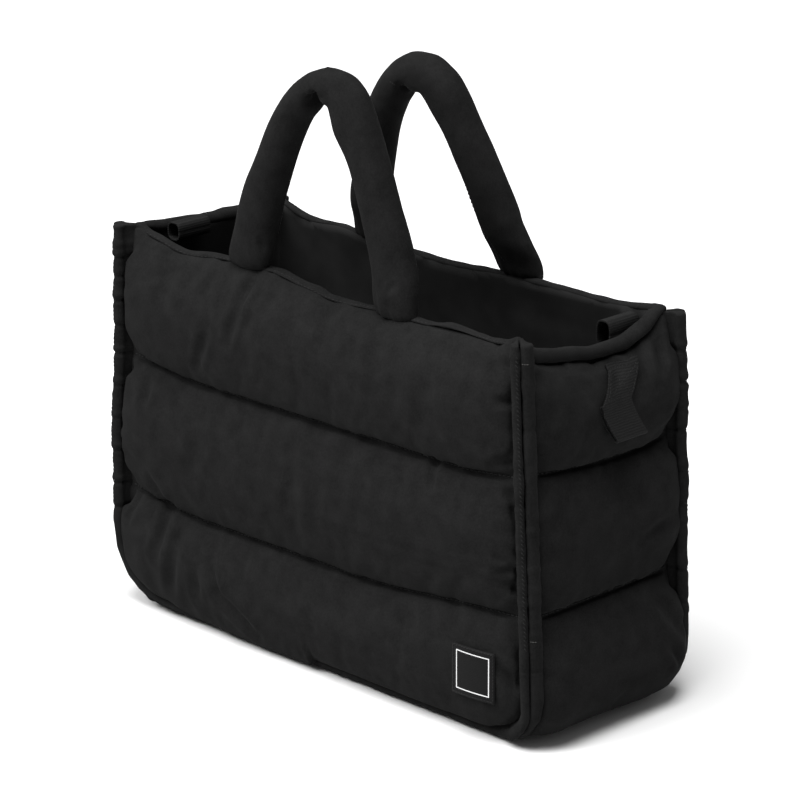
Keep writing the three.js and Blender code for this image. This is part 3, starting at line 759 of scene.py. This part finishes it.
# Creases: the two ends, the width and the depth of each, in mm. A depth below 0 stands out.
FRONT_CREASES = (
    ((-65, -70, 274), (-73, -90, 226), 4.0, 3.1),
    ((-55, -66, 276), (-52, -80, 258), 3.0, 1.9),
    ((-100, -64, 277), (-104, -86, 252), 5.0, 2.2),
    ((-94, -90, 234), (-108, -84, 202), 3.8, 2.2),
    ((117, -80, 186), (121, -90, 168), 3.2, 2.9),
    ((-146, -80, 88), (-153, -91, 50), 4.5, 3.4),
    ((-133, -90, 64), (-140, -84, 24), 5.0, 2.9),
    ((-115, -91, 50), (-109, -86, 26), 3.8, 2.6),
    ((-97, -92, 56), (-86, -89, 34), 4.0, 2.9),
    ((-88, -90, 37), (-50, -82, 14), 4.2, 2.6),
    ((-162, -82, 104), (-150, -80, 86), 3.8, 2.4),
    ((-188, -77, 87), (-196, -76, 70), 3.2, 2.4),
    ((-179, -80, 86), (-190, -79, 66), 3.2, 2.4),
    ((116, -89, 242), (123, -91, 214), 7.5, 2.2),
    ((-6, -92, 148), (-12, -90, 116), 7.5, 2.0),
    ((-103, -91, 158), (-111, -91, 124), 6.2, 2.2),
    ((168, -74, 273), (173, -81, 260), 3.2, 2.2),
    ((173, -76, 196), (188, -75, 202), 3.0, 2.2),
    ((181, -83, 134), (192, -76, 129), 2.8, 2.2),
    ((180, -84, 124), (192, -76, 127), 2.8, 1.9),
    ((178, -82, 241), (189, -75, 240), 2.8, 1.9),
    ((184, -83, 58), (195, -77, 43), 3.2, 2.4),
    ((135, -78, 90), (146, -89, 66), 5.0, 1.7),
    ((-162, -80, 184), (-165, -90, 160), 4.2, 2.2),
    ((-146, -80, 271), (-140, -90, 243), 6.2, 2.6),
    ((4, -64, 269), (22, -87, 244), 6.2, 2.3),
    ((60, -70, 272), (70, -90, 240), 5.6, 2.3),
)
GUSSET_CREASES = (
    ((207, 40, 82), (214, 62, 52), 5.0, 3.1),
    ((213, 50, 44), (210, 60, 30), 3.8, 2.9),
    ((196, 60, 268), (202, 50, 240), 4.2, 2.9),
    ((190, 50, 262), (203, 36, 238), 3.8, 1.9),
    ((187, -25, 256), (194, 28, 247.5), 2.5, -2.6),
    ((193, 14, 246), (201, 4, 238), 3.8, 1.7),
    ((198, 64, 262), (205, 52, 236), 3.2, 2.9),
    ((204, -50, 173), (205, -60, 150), 5.0, 1.9),
    ((207, -25, 216), (200, -34, 196), 5.0, 1.7),
    ((202, -53, 242), (201, -62, 220), 4.2, 1.9),
    ((208, -50, 76), (207, -63, 55), 5.0, 1.9),
    ((208, 24, 208), (200, 64, 214), 5.0, 1.7),
    ((212, 22, 126), (207, 60, 132), 5.6, 2.7),
    ((-196, 60, 268), (-203, 46, 238), 4.2, 2.6),
    ((-204, -48, 173), (-206, -60, 146), 5.0, 2.2),
    ((-208, 30, 84), (-212, 55, 48), 5.0, 2.4),
)
# The gathers of the bindings that are seen face on, at the front left and the back right. Each row is
# the end of the bag and then each gather's height and depth, in mm.
EDGE_GATHERS = {
    "front_panel": (-1, ((264, 2.6), (250, 1.8), (232, 2.8), (213, 1.2), (192, 2.6), (167, 1.6),
                         (142, 1.2), (117, 2.2), (92, 2.4), (73, 1.8))),
    "back_gusset": (1, ((247, 2.0), (225, 2.4), (206, 1.2), (191, 2.2), (162, 1.2), (139, 1.8),
                        (93, 2.2), (70, 1.6))),
}
HANDLE_CREASES = {
    "front": (
        ((5, -72, 410), (-9, -68, 420), 2.2, 3.0),
        ((4, -71, 409), (-16, -66, 412), 1.8, 1.8),
        ((9, -71, 412), (4, -66, 426), 1.8, 1.8),
        ((5, -52, 410), (-6, -50, 421), 2.2, 2.4),
        ((-59, -68, 300), (-63, -60, 285), 2.2, 1.4),
        ((72, -70, 294), (60, -66, 282), 2.2, 1.4),
    ),
    "back": (
        ((-10, 32, 396), (-19, 23, 405), 2.2, 2.4),
        ((-9, 31, 396), (-8, 22, 412), 2.0, 1.8),
        ((-8, 50, 396), (-14, 50, 410), 2.4, 1.8),
    ),
}

pucker_panel("front", front_panel)
pucker_panel("back", back_panel)
pucker_gusset(gusset)
shape_handle(front_handle, 51, -2 * MM, 2 * MM, 10 * MM, 5 * MM, 2.6 * MM, -1 * MM)
shape_handle(back_handle, 53, -4 * MM, 1.5 * MM, 5 * MM, 2.5 * MM, 8 * MM, 2 * MM)
press_creases(front_panel, FRONT_CREASES, (0, 1, 0))
press_creases(gusset, GUSSET_CREASES, (1, 0, 0))
press_creases(front_handle, HANDLE_CREASES["front"])
press_creases(back_handle, HANDLE_CREASES["back"])

finish_piece(front_panel, SHELL, ["front_panel"])
finish_piece(back_panel, SHELL, ["back_panel"])
finish_piece(gusset, SHELL, ["gusset"])
finish_piece(front_handle, SHELL, ["handle_front"])
finish_piece(back_handle, SHELL, ["handle_back"])


# Bound edges

def draw_to_seam(piece, side, reach):
    """Draws the sewn edge of a binding in under the padding, so that no light passes the seam"""
    points = read_points(piece)
    x, y, z = points.T
    radius = corner_radius(x, 0 if side == "front" else 1)
    beyond = -inside_outline(x, z, radius)
    forward = SIDE[side] * y - half_depth(z)
    near = 1 - smooth(np.hypot(beyond, forward), 0.5 * MM, 7 * MM)
    near = near * (1 + 0.9 * smooth(z, 262 * MM, 278 * MM))
    out_x, out_z = way_out(x, z, radius)
    points[:, 0] -= out_x * near * reach * 0.7
    points[:, 2] -= out_z * near * reach * 0.7
    points[:, 1] -= SIDE[side] * near * reach * 0.7
    fill_corners(points)
    write_points(piece, points)


def bound_edge(side, part, seed):
    """A bound seam edge of the flange, gathered where the binding is eased round the seam"""
    piece = copy_of(f"{side}_{part}_binding", f"{side}_{part}_bound_edge")
    split_long_edges(piece, 3 * MM)
    subdivide(piece)
    points = read_points(piece)
    x, y, z = points.T
    along = np.where(z > 60 * MM, z, x)
    strength = 0.35 + 0.65 * smooth(random_line(along, 35 * MM, seed), -0.2, 0.6)
    heights = 0.5 * MM * random_line(along, 4.5 * MM, seed + 1) * strength
    heights += 0.25 * MM * lumps(points, 12 * MM, seed + 2) + 0.4 * MM
    push(piece, heights)
    points = read_points(piece)
    x, y, z = points.T
    hand, gathers = EDGE_GATHERS.get(f"{side}_{part}", (1, ()))
    folded = np.zeros(len(points))
    for height, depth in gathers:
        spot = z + 0.12 * (np.abs(x) - 195 * MM)
        folded -= 0.6 * depth * MM * bell(spot, height * MM, 1.8 * MM)
        folded += 0.2 * depth * MM * bell(spot, (height + 3.8) * MM, 2.6 * MM)
    push(piece, folded * (np.sign(x) == hand))
    points = read_points(piece)
    wander = 0.5 * MM * random_line(along, 26 * MM, 60 if side == "front" else 66) * (z > 60 * MM)
    points[:, 0] += wander - 2 * MM * (x < 0) * bell(z, 125 * MM, 60 * MM)
    points[:, 1] += wander * SIDE[side] * np.sign(x)
    write_points(piece, points)
    draw_to_seam(piece, side, 4.5 * MM)
    finish_piece(piece, SHELL, [f"{side}_{part}_binding"])
    return piece


bound_edges = [
    bound_edge("front", "panel", 61),
    bound_edge("front", "gusset", 64),
    bound_edge("back", "panel", 67),
    bound_edge("back", "gusset", 70),
]


def rim_roll():
    """The roll round the mouth, thickest at the ends, with its front lip let down over the panel"""
    piece = copy_of("rim_binding", "rim_roll")
    split_long_edges(piece, 5 * MM)
    subdivide(piece)
    points = read_points(piece)
    fuller = np.where(np.abs(points[:, 0]) > 180 * MM, 1.0 * MM, 0.5 * MM)
    push(piece, fuller + 0.4 * MM * lumps(points, 18 * MM, 81) + 0.25 * MM * lumps(points, 8 * MM, 82))
    points = read_points(piece)
    x, y, z = points.T
    below = z - rim_height("front", x / half_width(z)) + 6.5 * MM
    let_down = smooth(-y, 48 * MM, 58 * MM) * smooth(below, 0, 6 * MM)
    points[:, 2] -= 3 * MM * let_down * (1 - smooth(np.abs(x), 172 * MM, 184 * MM))
    points[:, 1] -= 1.2 * MM * smooth(-y, 54 * MM, 62 * MM) * (1 - smooth(np.abs(x), 168 * MM, 182 * MM))
    set_rim(points)
    write_points(piece, points)
    finish_piece(piece, SHELL, ["rim_binding"])
    return piece


rim = rim_roll()


# Lining: a thin sack, made from the hollow that it encloses

def lining_sack():
    """The faces of the lining's solid that line the hollow, closed over, remeshed, opened at the mouth
    and given the thickness of cloth"""
    middle_of_cloth = 6.3 * MM + LINING_CLOTH / 2
    piece = copy_of("lining", "lining_sack")

    def from_walls(points):
        x, y, z = points.T
        share_x, share_y = x / half_width(z), y / half_depth(z)
        sides = half_depth(z) - lean(PANEL_LEAN, share_x, z) - np.abs(y)
        ends = inside_outline(x, z, corner_radius(x, np.clip(0.5 + share_y / 2, 0, 1)))
        return sides, ends - lean(END_LEAN, share_y, z)

    inner = np.minimum(*from_walls(read_points(piece))) > middle_of_cloth
    net = bmesh.new()
    net.from_mesh(piece.data)
    net.verts.ensure_lookup_table()
    outer = [face for face in net.faces if not all(inner[vertex.index] for vertex in face.verts)]
    bmesh.ops.delete(net, geom=outer, context="FACES")
    edges = [edge for edge in net.edges if edge.is_boundary]
    raised = bmesh.ops.extrude_edge_only(net, edges=edges)["geom"]
    for vertex in raised:
        if isinstance(vertex, bmesh.types.BMVert):
            vertex.co.z = 320 * MM
    bmesh.ops.holes_fill(net, edges=[edge for edge in net.edges if edge.is_boundary], sides=0)
    bmesh.ops.recalc_face_normals(net, faces=net.faces)
    net.to_mesh(piece.data)
    net.free()
    even_net(piece, LINING_NET)

    def mouth_height(points):
        x, y, z = points.T
        share_x, share_y = x / half_width(z), y / half_depth(z)
        front, back = rim_height("front", share_x) - 5 * MM, rim_height("back", share_x) - 2 * MM
        at_side = np.where(y < 0, front, back)
        at_end = np.where(x < 0, rim_height("left", share_y), rim_height("right", share_y)) - 4 * MM
        sides, ends = from_walls(points)
        return np.where(sides < ends, at_side, at_end)

    points = read_points(piece)
    too_high = points[:, 2] > mouth_height(points)
    net = bmesh.new()
    net.from_mesh(piece.data)
    net.verts.ensure_lookup_table()
    lid = [face for face in net.faces if any(too_high[vertex.index] for vertex in face.verts)]
    bmesh.ops.delete(net, geom=lid, context="FACES")
    loose = [vertex for vertex in net.verts if not vertex.link_faces]
    bmesh.ops.delete(net, geom=loose, context="VERTS")
    mouth = [vertex for vertex in net.verts if vertex.is_boundary]
    heights = mouth_height(np.array([vertex.co[:] for vertex in mouth]))
    for vertex, height in zip(mouth, heights):
        vertex.co.z = height
    bmesh.ops.reverse_faces(net, faces=net.faces)
    net.to_mesh(piece.data)
    net.free()
    points = read_points(piece)
    normals = read_normals(piece)
    x, y, z = points.T
    hanging = smooth(z, 25 * MM, 60 * MM) * (1 - smooth(z, 235 * MM, 262 * MM))
    folds = 0.5 + 0.5 * lumps(points, 34 * MM, 91) + 0.35 * random_line(x + y + 0.4 * z, 17 * MM, 92)
    points += normals * (2.2 * MM * np.maximum(folds, 0) * hanging)[:, None]
    set_rim(points)
    write_points(piece, points)
    cloth = piece.modifiers.new("cloth", "SOLIDIFY")
    cloth.thickness = LINING_CLOTH
    cloth.offset = -1
    apply_modifiers(piece)
    finish_piece(piece, LINING, ["lining"])
    return piece


lining = lining_sack()


# Stitching

def stitch_shape():
    """One stitch, modelled once: a short thread lying along X with sunken ends"""
    bpy.ops.object.select_all(action="DESELECT")
    bpy.ops.mesh.primitive_cylinder_add(vertices=6, radius=0.5, depth=1, rotation=(0, math.pi / 2, 0))
    stitch = bpy.context.active_object
    bpy.ops.object.transform_apply(location=True, rotation=True, scale=True)
    bpy.ops.object.mode_set(mode="EDIT")
    bpy.ops.mesh.select_all(action="SELECT")
    bpy.ops.mesh.subdivide(number_cuts=1)
    bpy.ops.object.mode_set(mode="OBJECT")
    points = read_points(stitch)
    points[:, 2] -= 1.2 * points[:, 0] ** 2
    points[:, 1:] *= (1 - 1.1 * points[:, 0] ** 2)[:, None]
    write_points(stitch, points)
    return stitch


STITCH = stitch_shape()


def sew(name, places, thread):
    """Stitches as one piece. Each place is the middle, the way along, the way out, the length and the
    thickness of one stitch."""
    shape = bmesh.new()
    shape.from_mesh(STITCH.data)
    corners = np.array([vertex.co[:] for vertex in shape.verts])
    faces = [[vertex.index for vertex in face.verts] for face in shape.faces]
    shape.free()
    points, rows = [], []
    for middle, along, out, length, thick in places:
        along, out = Vector(along).normalized(), Vector(out).normalized()
        across = out.cross(along).normalized()
        out = along.cross(across)
        turn = np.array((along * length, across * thick, out * thick))
        rows += [[index + len(points) * len(corners) for index in face] for face in faces]
        points.append(corners @ turn + np.array(middle))
    mesh = bpy.data.meshes.new(name)
    mesh.from_pydata(np.concatenate(points).tolist(), [], rows)
    piece = bpy.data.objects.new(name, mesh)
    bpy.context.collection.objects.link(piece)
    finish_piece(piece, thread, [])
    return piece


def surface_of(piece):
    points = read_points(piece)
    faces = [tuple(face.vertices) for face in piece.data.polygons]
    return BVHTree.FromPolygons([Vector(point) for point in points], faces)


SURFACES = {
    piece.name: surface_of(piece)
    for piece in (front_panel, back_panel, gusset, rim, front_handle, back_handle, *bound_edges)
}


def stitch_row(surface, spots, aim, length, thick, lift=0.0, turn=0.0):
    """Stitches from each spot to the next, dropped along aim on to a surface, and turned by an angle"""
    aim = Vector(aim).normalized()
    hits = []
    for spot in spots:
        place, normal, _, _ = SURFACES[surface].ray_cast(Vector(spot) - aim * 0.2, aim)
        hits.append((place, normal) if place else None)
    places = []
    for one, two in zip(hits, hits[1:]):
        if one and two and (two[0] - one[0]).length < 4 * length:
            out = (one[1] + two[1]).normalized()
            along = Matrix.Rotation(turn, 3, out) @ (two[0] - one[0])
            places.append(((one[0] + two[0]) / 2 + out * lift, along, out, length, thick))
    return places


def stitch_line(surface, start, end, aim, pitch, length, thick, lift=0.0, wander=0.0, turn=0.0):
    """A straight row of stitches, dropped along aim on to a surface"""
    start, end = Vector(start), Vector(end)
    count = max(2, round((end - start).length / pitch))
    spots = [start.lerp(end, step / count) for step in range(count + 1)]
    for step, spot in enumerate(spots):
        spot.z += wander * math.sin(step * 0.7) + wander * 0.6 * math.sin(step * 0.23)
    if "quilted" in surface:
        spots = np.array([spot[:] for spot in spots])
        sag_seams(spots)
    return stitch_row(surface, spots, aim, length, thick, lift, turn)


def quilt_stitches():
    places = []
    for z in QUILT_SEAMS:
        reach = float(half_width(np.array(z))) - 6 * MM
        for surface, side in (("front_quilted_panel", -1), ("back_quilted_panel", 1)):
            places += stitch_line(surface, (-reach, side * 0.08, z), (reach, side * 0.08, z), (0, -side, 0),
                                  3.6 * MM, 2.8 * MM, 1.0 * MM, 0.35 * MM)
        deep = float(half_depth(np.array(z))) - 6 * MM
        for hand in (-1, 1):
            places += stitch_line("quilted_gusset", (hand * 0.21, -deep, z), (hand * 0.21, deep, z),
                                  (-hand, 0, 0), 3.6 * MM, 2.8 * MM, 1.0 * MM, 0.35 * MM)
    return sew("quilting_stitches", places, THREAD)


def lip_stitches():
    """Topstitching along the thin rim of the front and back, a little under its top"""
    places = []
    for side, hand in (("front", -1), ("back", 1)):
        shares = np.linspace(-0.95, 0.95, 103)
        off = np.full(len(shares), hand * 0.1)
        spots = np.stack((shares * TOP_HALF_WIDTH, off, rim_height(side, shares)), axis=1)
        set_rim(spots)
        spots[:, 2] -= 3.6 * MM
        places += stitch_row("rim_roll", spots, (0, -hand, 0), 2.3 * MM, 0.55 * MM)
    return sew("rim_topstitching", places, THREAD)


def flange_spot(side, hand, out, over, z):
    """A place on a flange: out from its seam, and over towards the panel or, if less than 0, the gusset"""
    x = float(half_width(z)) + (out - over) / math.sqrt(2)
    y = float(half_depth(z)) + (out + over) / math.sqrt(2)
    return hand * x, SIDE[side] * y, z


def flange_stitches():
    """Coverstitch over the panel's bound edge, down each upright flange"""
    places = []
    low, high = 75 * MM, BODY_HEIGHT - 12 * MM
    for side in ("front", "back"):
        for hand in (-1, 1):
            aim = (-hand, -SIDE[side], 0)
            start, end = (flange_spot(side, hand, 8 * MM, 2.6 * MM, z) for z in (low, high))
            places += stitch_line(f"{side}_panel_bound_edge", start, end, aim, 3 * MM, 2.8 * MM, 0.6 * MM,
                                  turn=0.7)
    return sew("flange_stitching", places, THREAD)


def handle_seam():
    """The seam of the back handle's tube, along the inside of its right leg"""
    spots = []
    path = ((62, 284), (57, 300), (47, 321), (36, 343), (25, 364), (13, 385), (1, 399), (-10, 404))
    for (x1, z1), (x2, z2) in zip(path, path[1:]):
        for step in range(8):
            spots.append((between(x1, x2, step / 8) * MM, 0.04, between(z1, z2, step / 8) * MM))
    spots = [(x - 5 * MM, y, z) for x, y, z in spots]
    places = stitch_row("back_handle", spots, (0.3, 1, 0), 2.1 * MM, 0.8 * MM, 0.05 * MM)
    return sew("handle_seam_stitches", places, THREAD)


def bar_tacks():
    """Short pale tacks across the bound edges, where lengths of the binding tape meet"""
    places = []
    for z in (270 * MM, 82 * MM):
        start, end = (flange_spot("front", 1, 8 * MM, over * MM, z) for over in (-0.4, -5))
        places += stitch_line("front_gusset_bound_edge", start, end, (-1, 1, 0), 1.6 * MM, 1.5 * MM,
                              0.7 * MM, 0.1 * MM)
    start, end = (flange_spot("back", 1, out * MM, 0, 277 * MM) for out in (1.5, 10))
    places += stitch_line("back_gusset_bound_edge", start, end, (-1, 1, 0), 1.9 * MM, 1.7 * MM,
                          0.7 * MM, 0.1 * MM)
    return sew("binding_tacks", places, PALE_THREAD)


lip_stitches()
flange_stitches()
handle_seam()
bar_tacks()
quilt_stitches()


# Webbing tabs outside the ends

def along_path(name, path, width, thickness, across=(0, 1, 0)):
    """A flat strap: one edge of a strip is drawn out along a path, then given its thickness"""
    bpy.ops.object.select_all(action="DESELECT")
    bpy.ops.mesh.primitive_grid_add(x_subdivisions=1, y_subdivisions=8, size=1)
    piece = bpy.context.active_object
    piece.name = name
    across = Vector(across).normalized()
    first, second = Vector(path[0]), Vector(path[1])
    points = read_points(piece)
    placed = [
        (first if point[0] < 0 else second) + across * (point[1] * width) for point in points
    ]
    write_points(piece, np.array(placed))
    select_only(piece)
    bpy.ops.object.mode_set(mode="EDIT")
    bpy.ops.mesh.select_mode(type="EDGE")
    net = bmesh.from_edit_mesh(piece.data)
    for edge in net.edges:
        middle = (edge.verts[0].co + edge.verts[1].co) / 2
        offset = middle - second
        at_end = (offset - across * offset.dot(across)).length < 1e-6
        edge.select_set(at_end)
    for vertex in net.verts:
        offset = vertex.co - second
        vertex.select_set((offset - across * offset.dot(across)).length < 1e-6)
    net.select_flush_mode()
    bmesh.update_edit_mesh(piece.data)
    for one, two in zip(path[1:], path[2:]):
        move = Vector(two) - Vector(one)
        bpy.ops.mesh.extrude_region_move(TRANSFORM_OT_translate={"value": move})
    bpy.ops.object.mode_set(mode="OBJECT")
    solid = piece.modifiers.new("thick", "SOLIDIFY")
    solid.thickness = thickness
    solid.offset = 0
    edge = piece.modifiers.new("selvedge", "BEVEL")
    edge.width = 0.3 * MM
    edge.segments = 2
    edge.limit_method = "ANGLE"
    apply_modifiers(piece)
    bpy.ops.object.mode_set(mode="EDIT")
    bpy.ops.mesh.select_all(action="SELECT")
    bpy.ops.mesh.normals_make_consistent(inside=False)
    bpy.ops.object.mode_set(mode="OBJECT")
    return piece


def outer_tab(hand, tag):
    """Webbing doubled over, sewn down at its top with its folded end hanging free"""
    surface = SURFACES["quilted_gusset"]

    def skin(z, y):
        place, _, _, _ = surface.ray_cast(Vector((hand * 0.3, y, z)), Vector((-hand, 0, 0)))
        return abs(place.x)

    path = []
    for step in range(9):
        z = TAB_TOP - TAB_SEWN * step / 8
        y = TAB_SLANT * (1 - step / 8)
        path.append((hand * (skin(z, y) + 1.5 * WEBBING_THICK + 0.6 * MM), y, z))
    rise = path[-1]

    def free_spot(share, back, flare):
        return rise[0] + hand * (flare - back), TAB_TURN * share ** 1.5, rise[2] - TAB_FREE * share

    for step in range(1, 10):
        share = step / 9
        path.append(free_spot(share, 0, 10 * MM * share ** 1.3))
    tip = path[-1]
    for step in range(1, 6):
        angle = math.pi * step / 5
        path.append((tip[0] - hand * 1.3 * MM * (1 - math.cos(angle)), tip[1],
                     tip[2] - 1.2 * MM * math.sin(angle)))
    for step in range(1, 10):
        share = 1 - step / 9
        path.append(free_spot(share, 1.9 * MM, 8.5 * MM * share ** 1.8 * (1 - 0.05 * step / 9)))
    piece = along_path(f"webbing_tab_{tag}", path, WEBBING_WIDTH, WEBBING_THICK)
    # The sewn length is laid down on the round of the gusset over its whole width
    points = read_points(piece)
    for point in points:
        sewn = smooth(point[2], rise[2] - 8 * MM, rise[2])
        middle = TAB_SLANT * max(0, point[2] - rise[2]) / TAB_SEWN
        point[0] += hand * sewn * (skin(point[2], point[1]) - skin(point[2], middle))
    write_points(piece, points)
    finish_piece(piece, WEBBING, [f"outer_tab_{tag}"])
    return piece


def inner_loop(hand, tag):
    """A flattened ring of webbing inside an end. The left one sits higher than its solid."""
    low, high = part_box(f"inner_loop_{tag}")
    if hand < 0:
        low.z += 6 * MM
    middle = (low + high) / 2
    size = high - low
    wide, tall = (size.x - WEBBING_THICK) / 2, (size.z - WEBBING_THICK) / 2

    def flattened(value):
        return math.copysign(abs(value) ** 0.65, value)

    path = []
    for step in range(25):
        angle = 2 * math.pi * step / 24
        path.append((middle.x + flattened(math.cos(angle)) * wide, middle.y,
                     middle.z + flattened(math.sin(angle)) * tall))
    piece = along_path(f"webbing_loop_{tag}", path, WEBBING_WIDTH, WEBBING_THICK)
    finish_piece(piece, WEBBING, [f"inner_loop_{tag}"])
    return piece


tabs = [outer_tab(1, "right"), outer_tab(-1, "left")]
loops = [inner_loop(1, "right"), inner_loop(-1, "left")]
SURFACES.update({piece.name: surface_of(piece) for piece in tabs + loops})


def tab_stitches():
    """A box with a cross in it on each outer tab, and overcast ends on the inner loops"""
    places = []
    for hand, tag in ((1, "right"), (-1, "left")):
        corners = [(32, 246.5), (6.5, 246.5), (-10, 230.5), (15.5, 230.5)]
        rows = [*zip(corners, corners[1:] + corners[:1]), (corners[0], corners[2]), (corners[1], corners[3])]
        for (y1, z1), (y2, z2) in rows:
            start, end = (hand * 0.25, y1 * MM, z1 * MM), (hand * 0.25, y2 * MM, z2 * MM)
            places += stitch_line(f"webbing_tab_{tag}", start, end, (-hand, 0, 0), 2.9 * MM, 2.2 * MM,
                                  0.55 * MM, 0.05 * MM)
        low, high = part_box(f"inner_loop_{tag}")
        for y in (low.y + 2.2 * MM, high.y - 2.2 * MM):
            for x, way in ((0.1, hand), (0.25, -hand)):
                start, end = (hand * x, y, low.z + 3 * MM), (hand * x, y, high.z - 3 * MM)
                places += stitch_line(f"webbing_loop_{tag}", start, end, (way, 0, -0.3), 1.9 * MM,
                                      3.4 * MM, 0.7 * MM, 0.15 * MM, turn=1.2)
    return sew("webbing_stitches", places, THREAD)


tab_stitches()


# Label patch

def label_patch():
    """The woven patch, laid on the front panel"""
    low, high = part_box("label_patch")
    middle = (low + high) / 2
    bpy.ops.object.select_all(action="DESELECT")
    bpy.ops.mesh.primitive_grid_add(x_subdivisions=18, y_subdivisions=18, size=LABEL_WIDTH, calc_uvs=True)
    piece = bpy.context.active_object
    piece.name = "woven_label"
    points = read_points(piece)
    placed = []
    for x, y, _ in points:
        spot = Vector((middle.x + x, -0.3, middle.z + y))
        place, _, _, _ = SURFACES["front_quilted_panel"].ray_cast(spot, Vector((0, 1, 0)))
        placed.append((spot.x, place.y, spot.z))
    placed = np.array(placed)
    # A stiff patch bridges the small dents under it
    across, up = points[:, 0] / (18 * MM), points[:, 1] / (18 * MM)
    terms = np.stack((np.ones_like(across), across, up, across * across), axis=1)
    best, _, _, _ = np.linalg.lstsq(terms, placed[:, 1], rcond=None)
    smooth_face = terms @ best
    placed[:, 1] = smooth_face - max(0, (smooth_face - placed[:, 1]).max() - 0.8 * MM) - 0.2 * MM
    write_points(piece, placed)
    solid = piece.modifiers.new("thick", "SOLIDIFY")
    solid.thickness = LABEL_THICK
    solid.offset = 1
    apply_modifiers(piece)
    finish_piece(piece, LABEL, ["label_patch"])
    return piece


label = label_patch()
SURFACES[label.name] = surface_of(label)


def label_stitches():
    """A row of stitches round the label, close to its edge"""
    low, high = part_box("label_patch")
    x, z = (low.x + high.x) / 2, (low.z + high.z) / 2
    out = LABEL_WIDTH / 2 - 1.2 * MM
    corners = [(x + a * out, -0.2, z + b * out)
               for a, b in ((-1, -1), (1, -1), (1, 1), (-1, 1), (-1, -1))]
    places = []
    for start, end in zip(corners, corners[1:]):
        places += stitch_line("woven_label", start, end, (0, 1, 0), 2.4 * MM, 1.9 * MM, 0.6 * MM, 0.05 * MM)
    return sew("label_stitches", places, THREAD)


label_stitches()
bpy.data.objects.remove(STITCH)


# Floor and light

def set_the_stage():
    bpy.ops.object.select_all(action="DESELECT")
    bpy.ops.mesh.primitive_plane_add(size=16, location=(0, 0, 0))
    floor = bpy.context.active_object
    floor.name = "floor"
    bpy.ops.object.transform_apply(location=True, rotation=True, scale=True)
    material, tree = new_material("painted_studio_floor")
    shader = add_node(tree, "ShaderNodeBsdfPrincipled",
                      inputs={"Base Color": linear("#cccccc"), "Roughness": 0.9, "Specular IOR Level": 0.1})
    add_node(tree, "ShaderNodeOutputMaterial", links={"Surface": (shader, "BSDF")})
    floor.data.materials.append(material)
    world = bpy.data.worlds.new("studio")
    world.use_nodes = True
    world.node_tree.nodes["Background"].inputs["Color"].default_value = (1, 1, 1, 1)
    world.node_tree.nodes["Background"].inputs["Strength"].default_value = 0.3
    bpy.context.scene.world = world
    bpy.context.scene.view_settings.view_transform = "Standard"
    for name, azimuth, elevation, distance, size, power in (
        ("key", -30, 46, 7, 3.4, 620),
        ("overhead", 30, 78, 7, 4.2, 920),
    ):
        a, e = math.radians(azimuth), math.radians(elevation)
        way = Vector((math.sin(a) * math.cos(e), -math.cos(a) * math.cos(e), math.sin(e)))
        data = bpy.data.lights.new(name, "AREA")
        data.shape = "SQUARE"
        data.size = size
        data.energy = power
        light = bpy.data.objects.new(name, data)
        light.location = Vector((0, 0, 0.15)) + way * distance
        light.rotation_euler = way.to_track_quat("Z", "Y").to_euler()
        bpy.context.collection.objects.link(light)


set_the_stage()
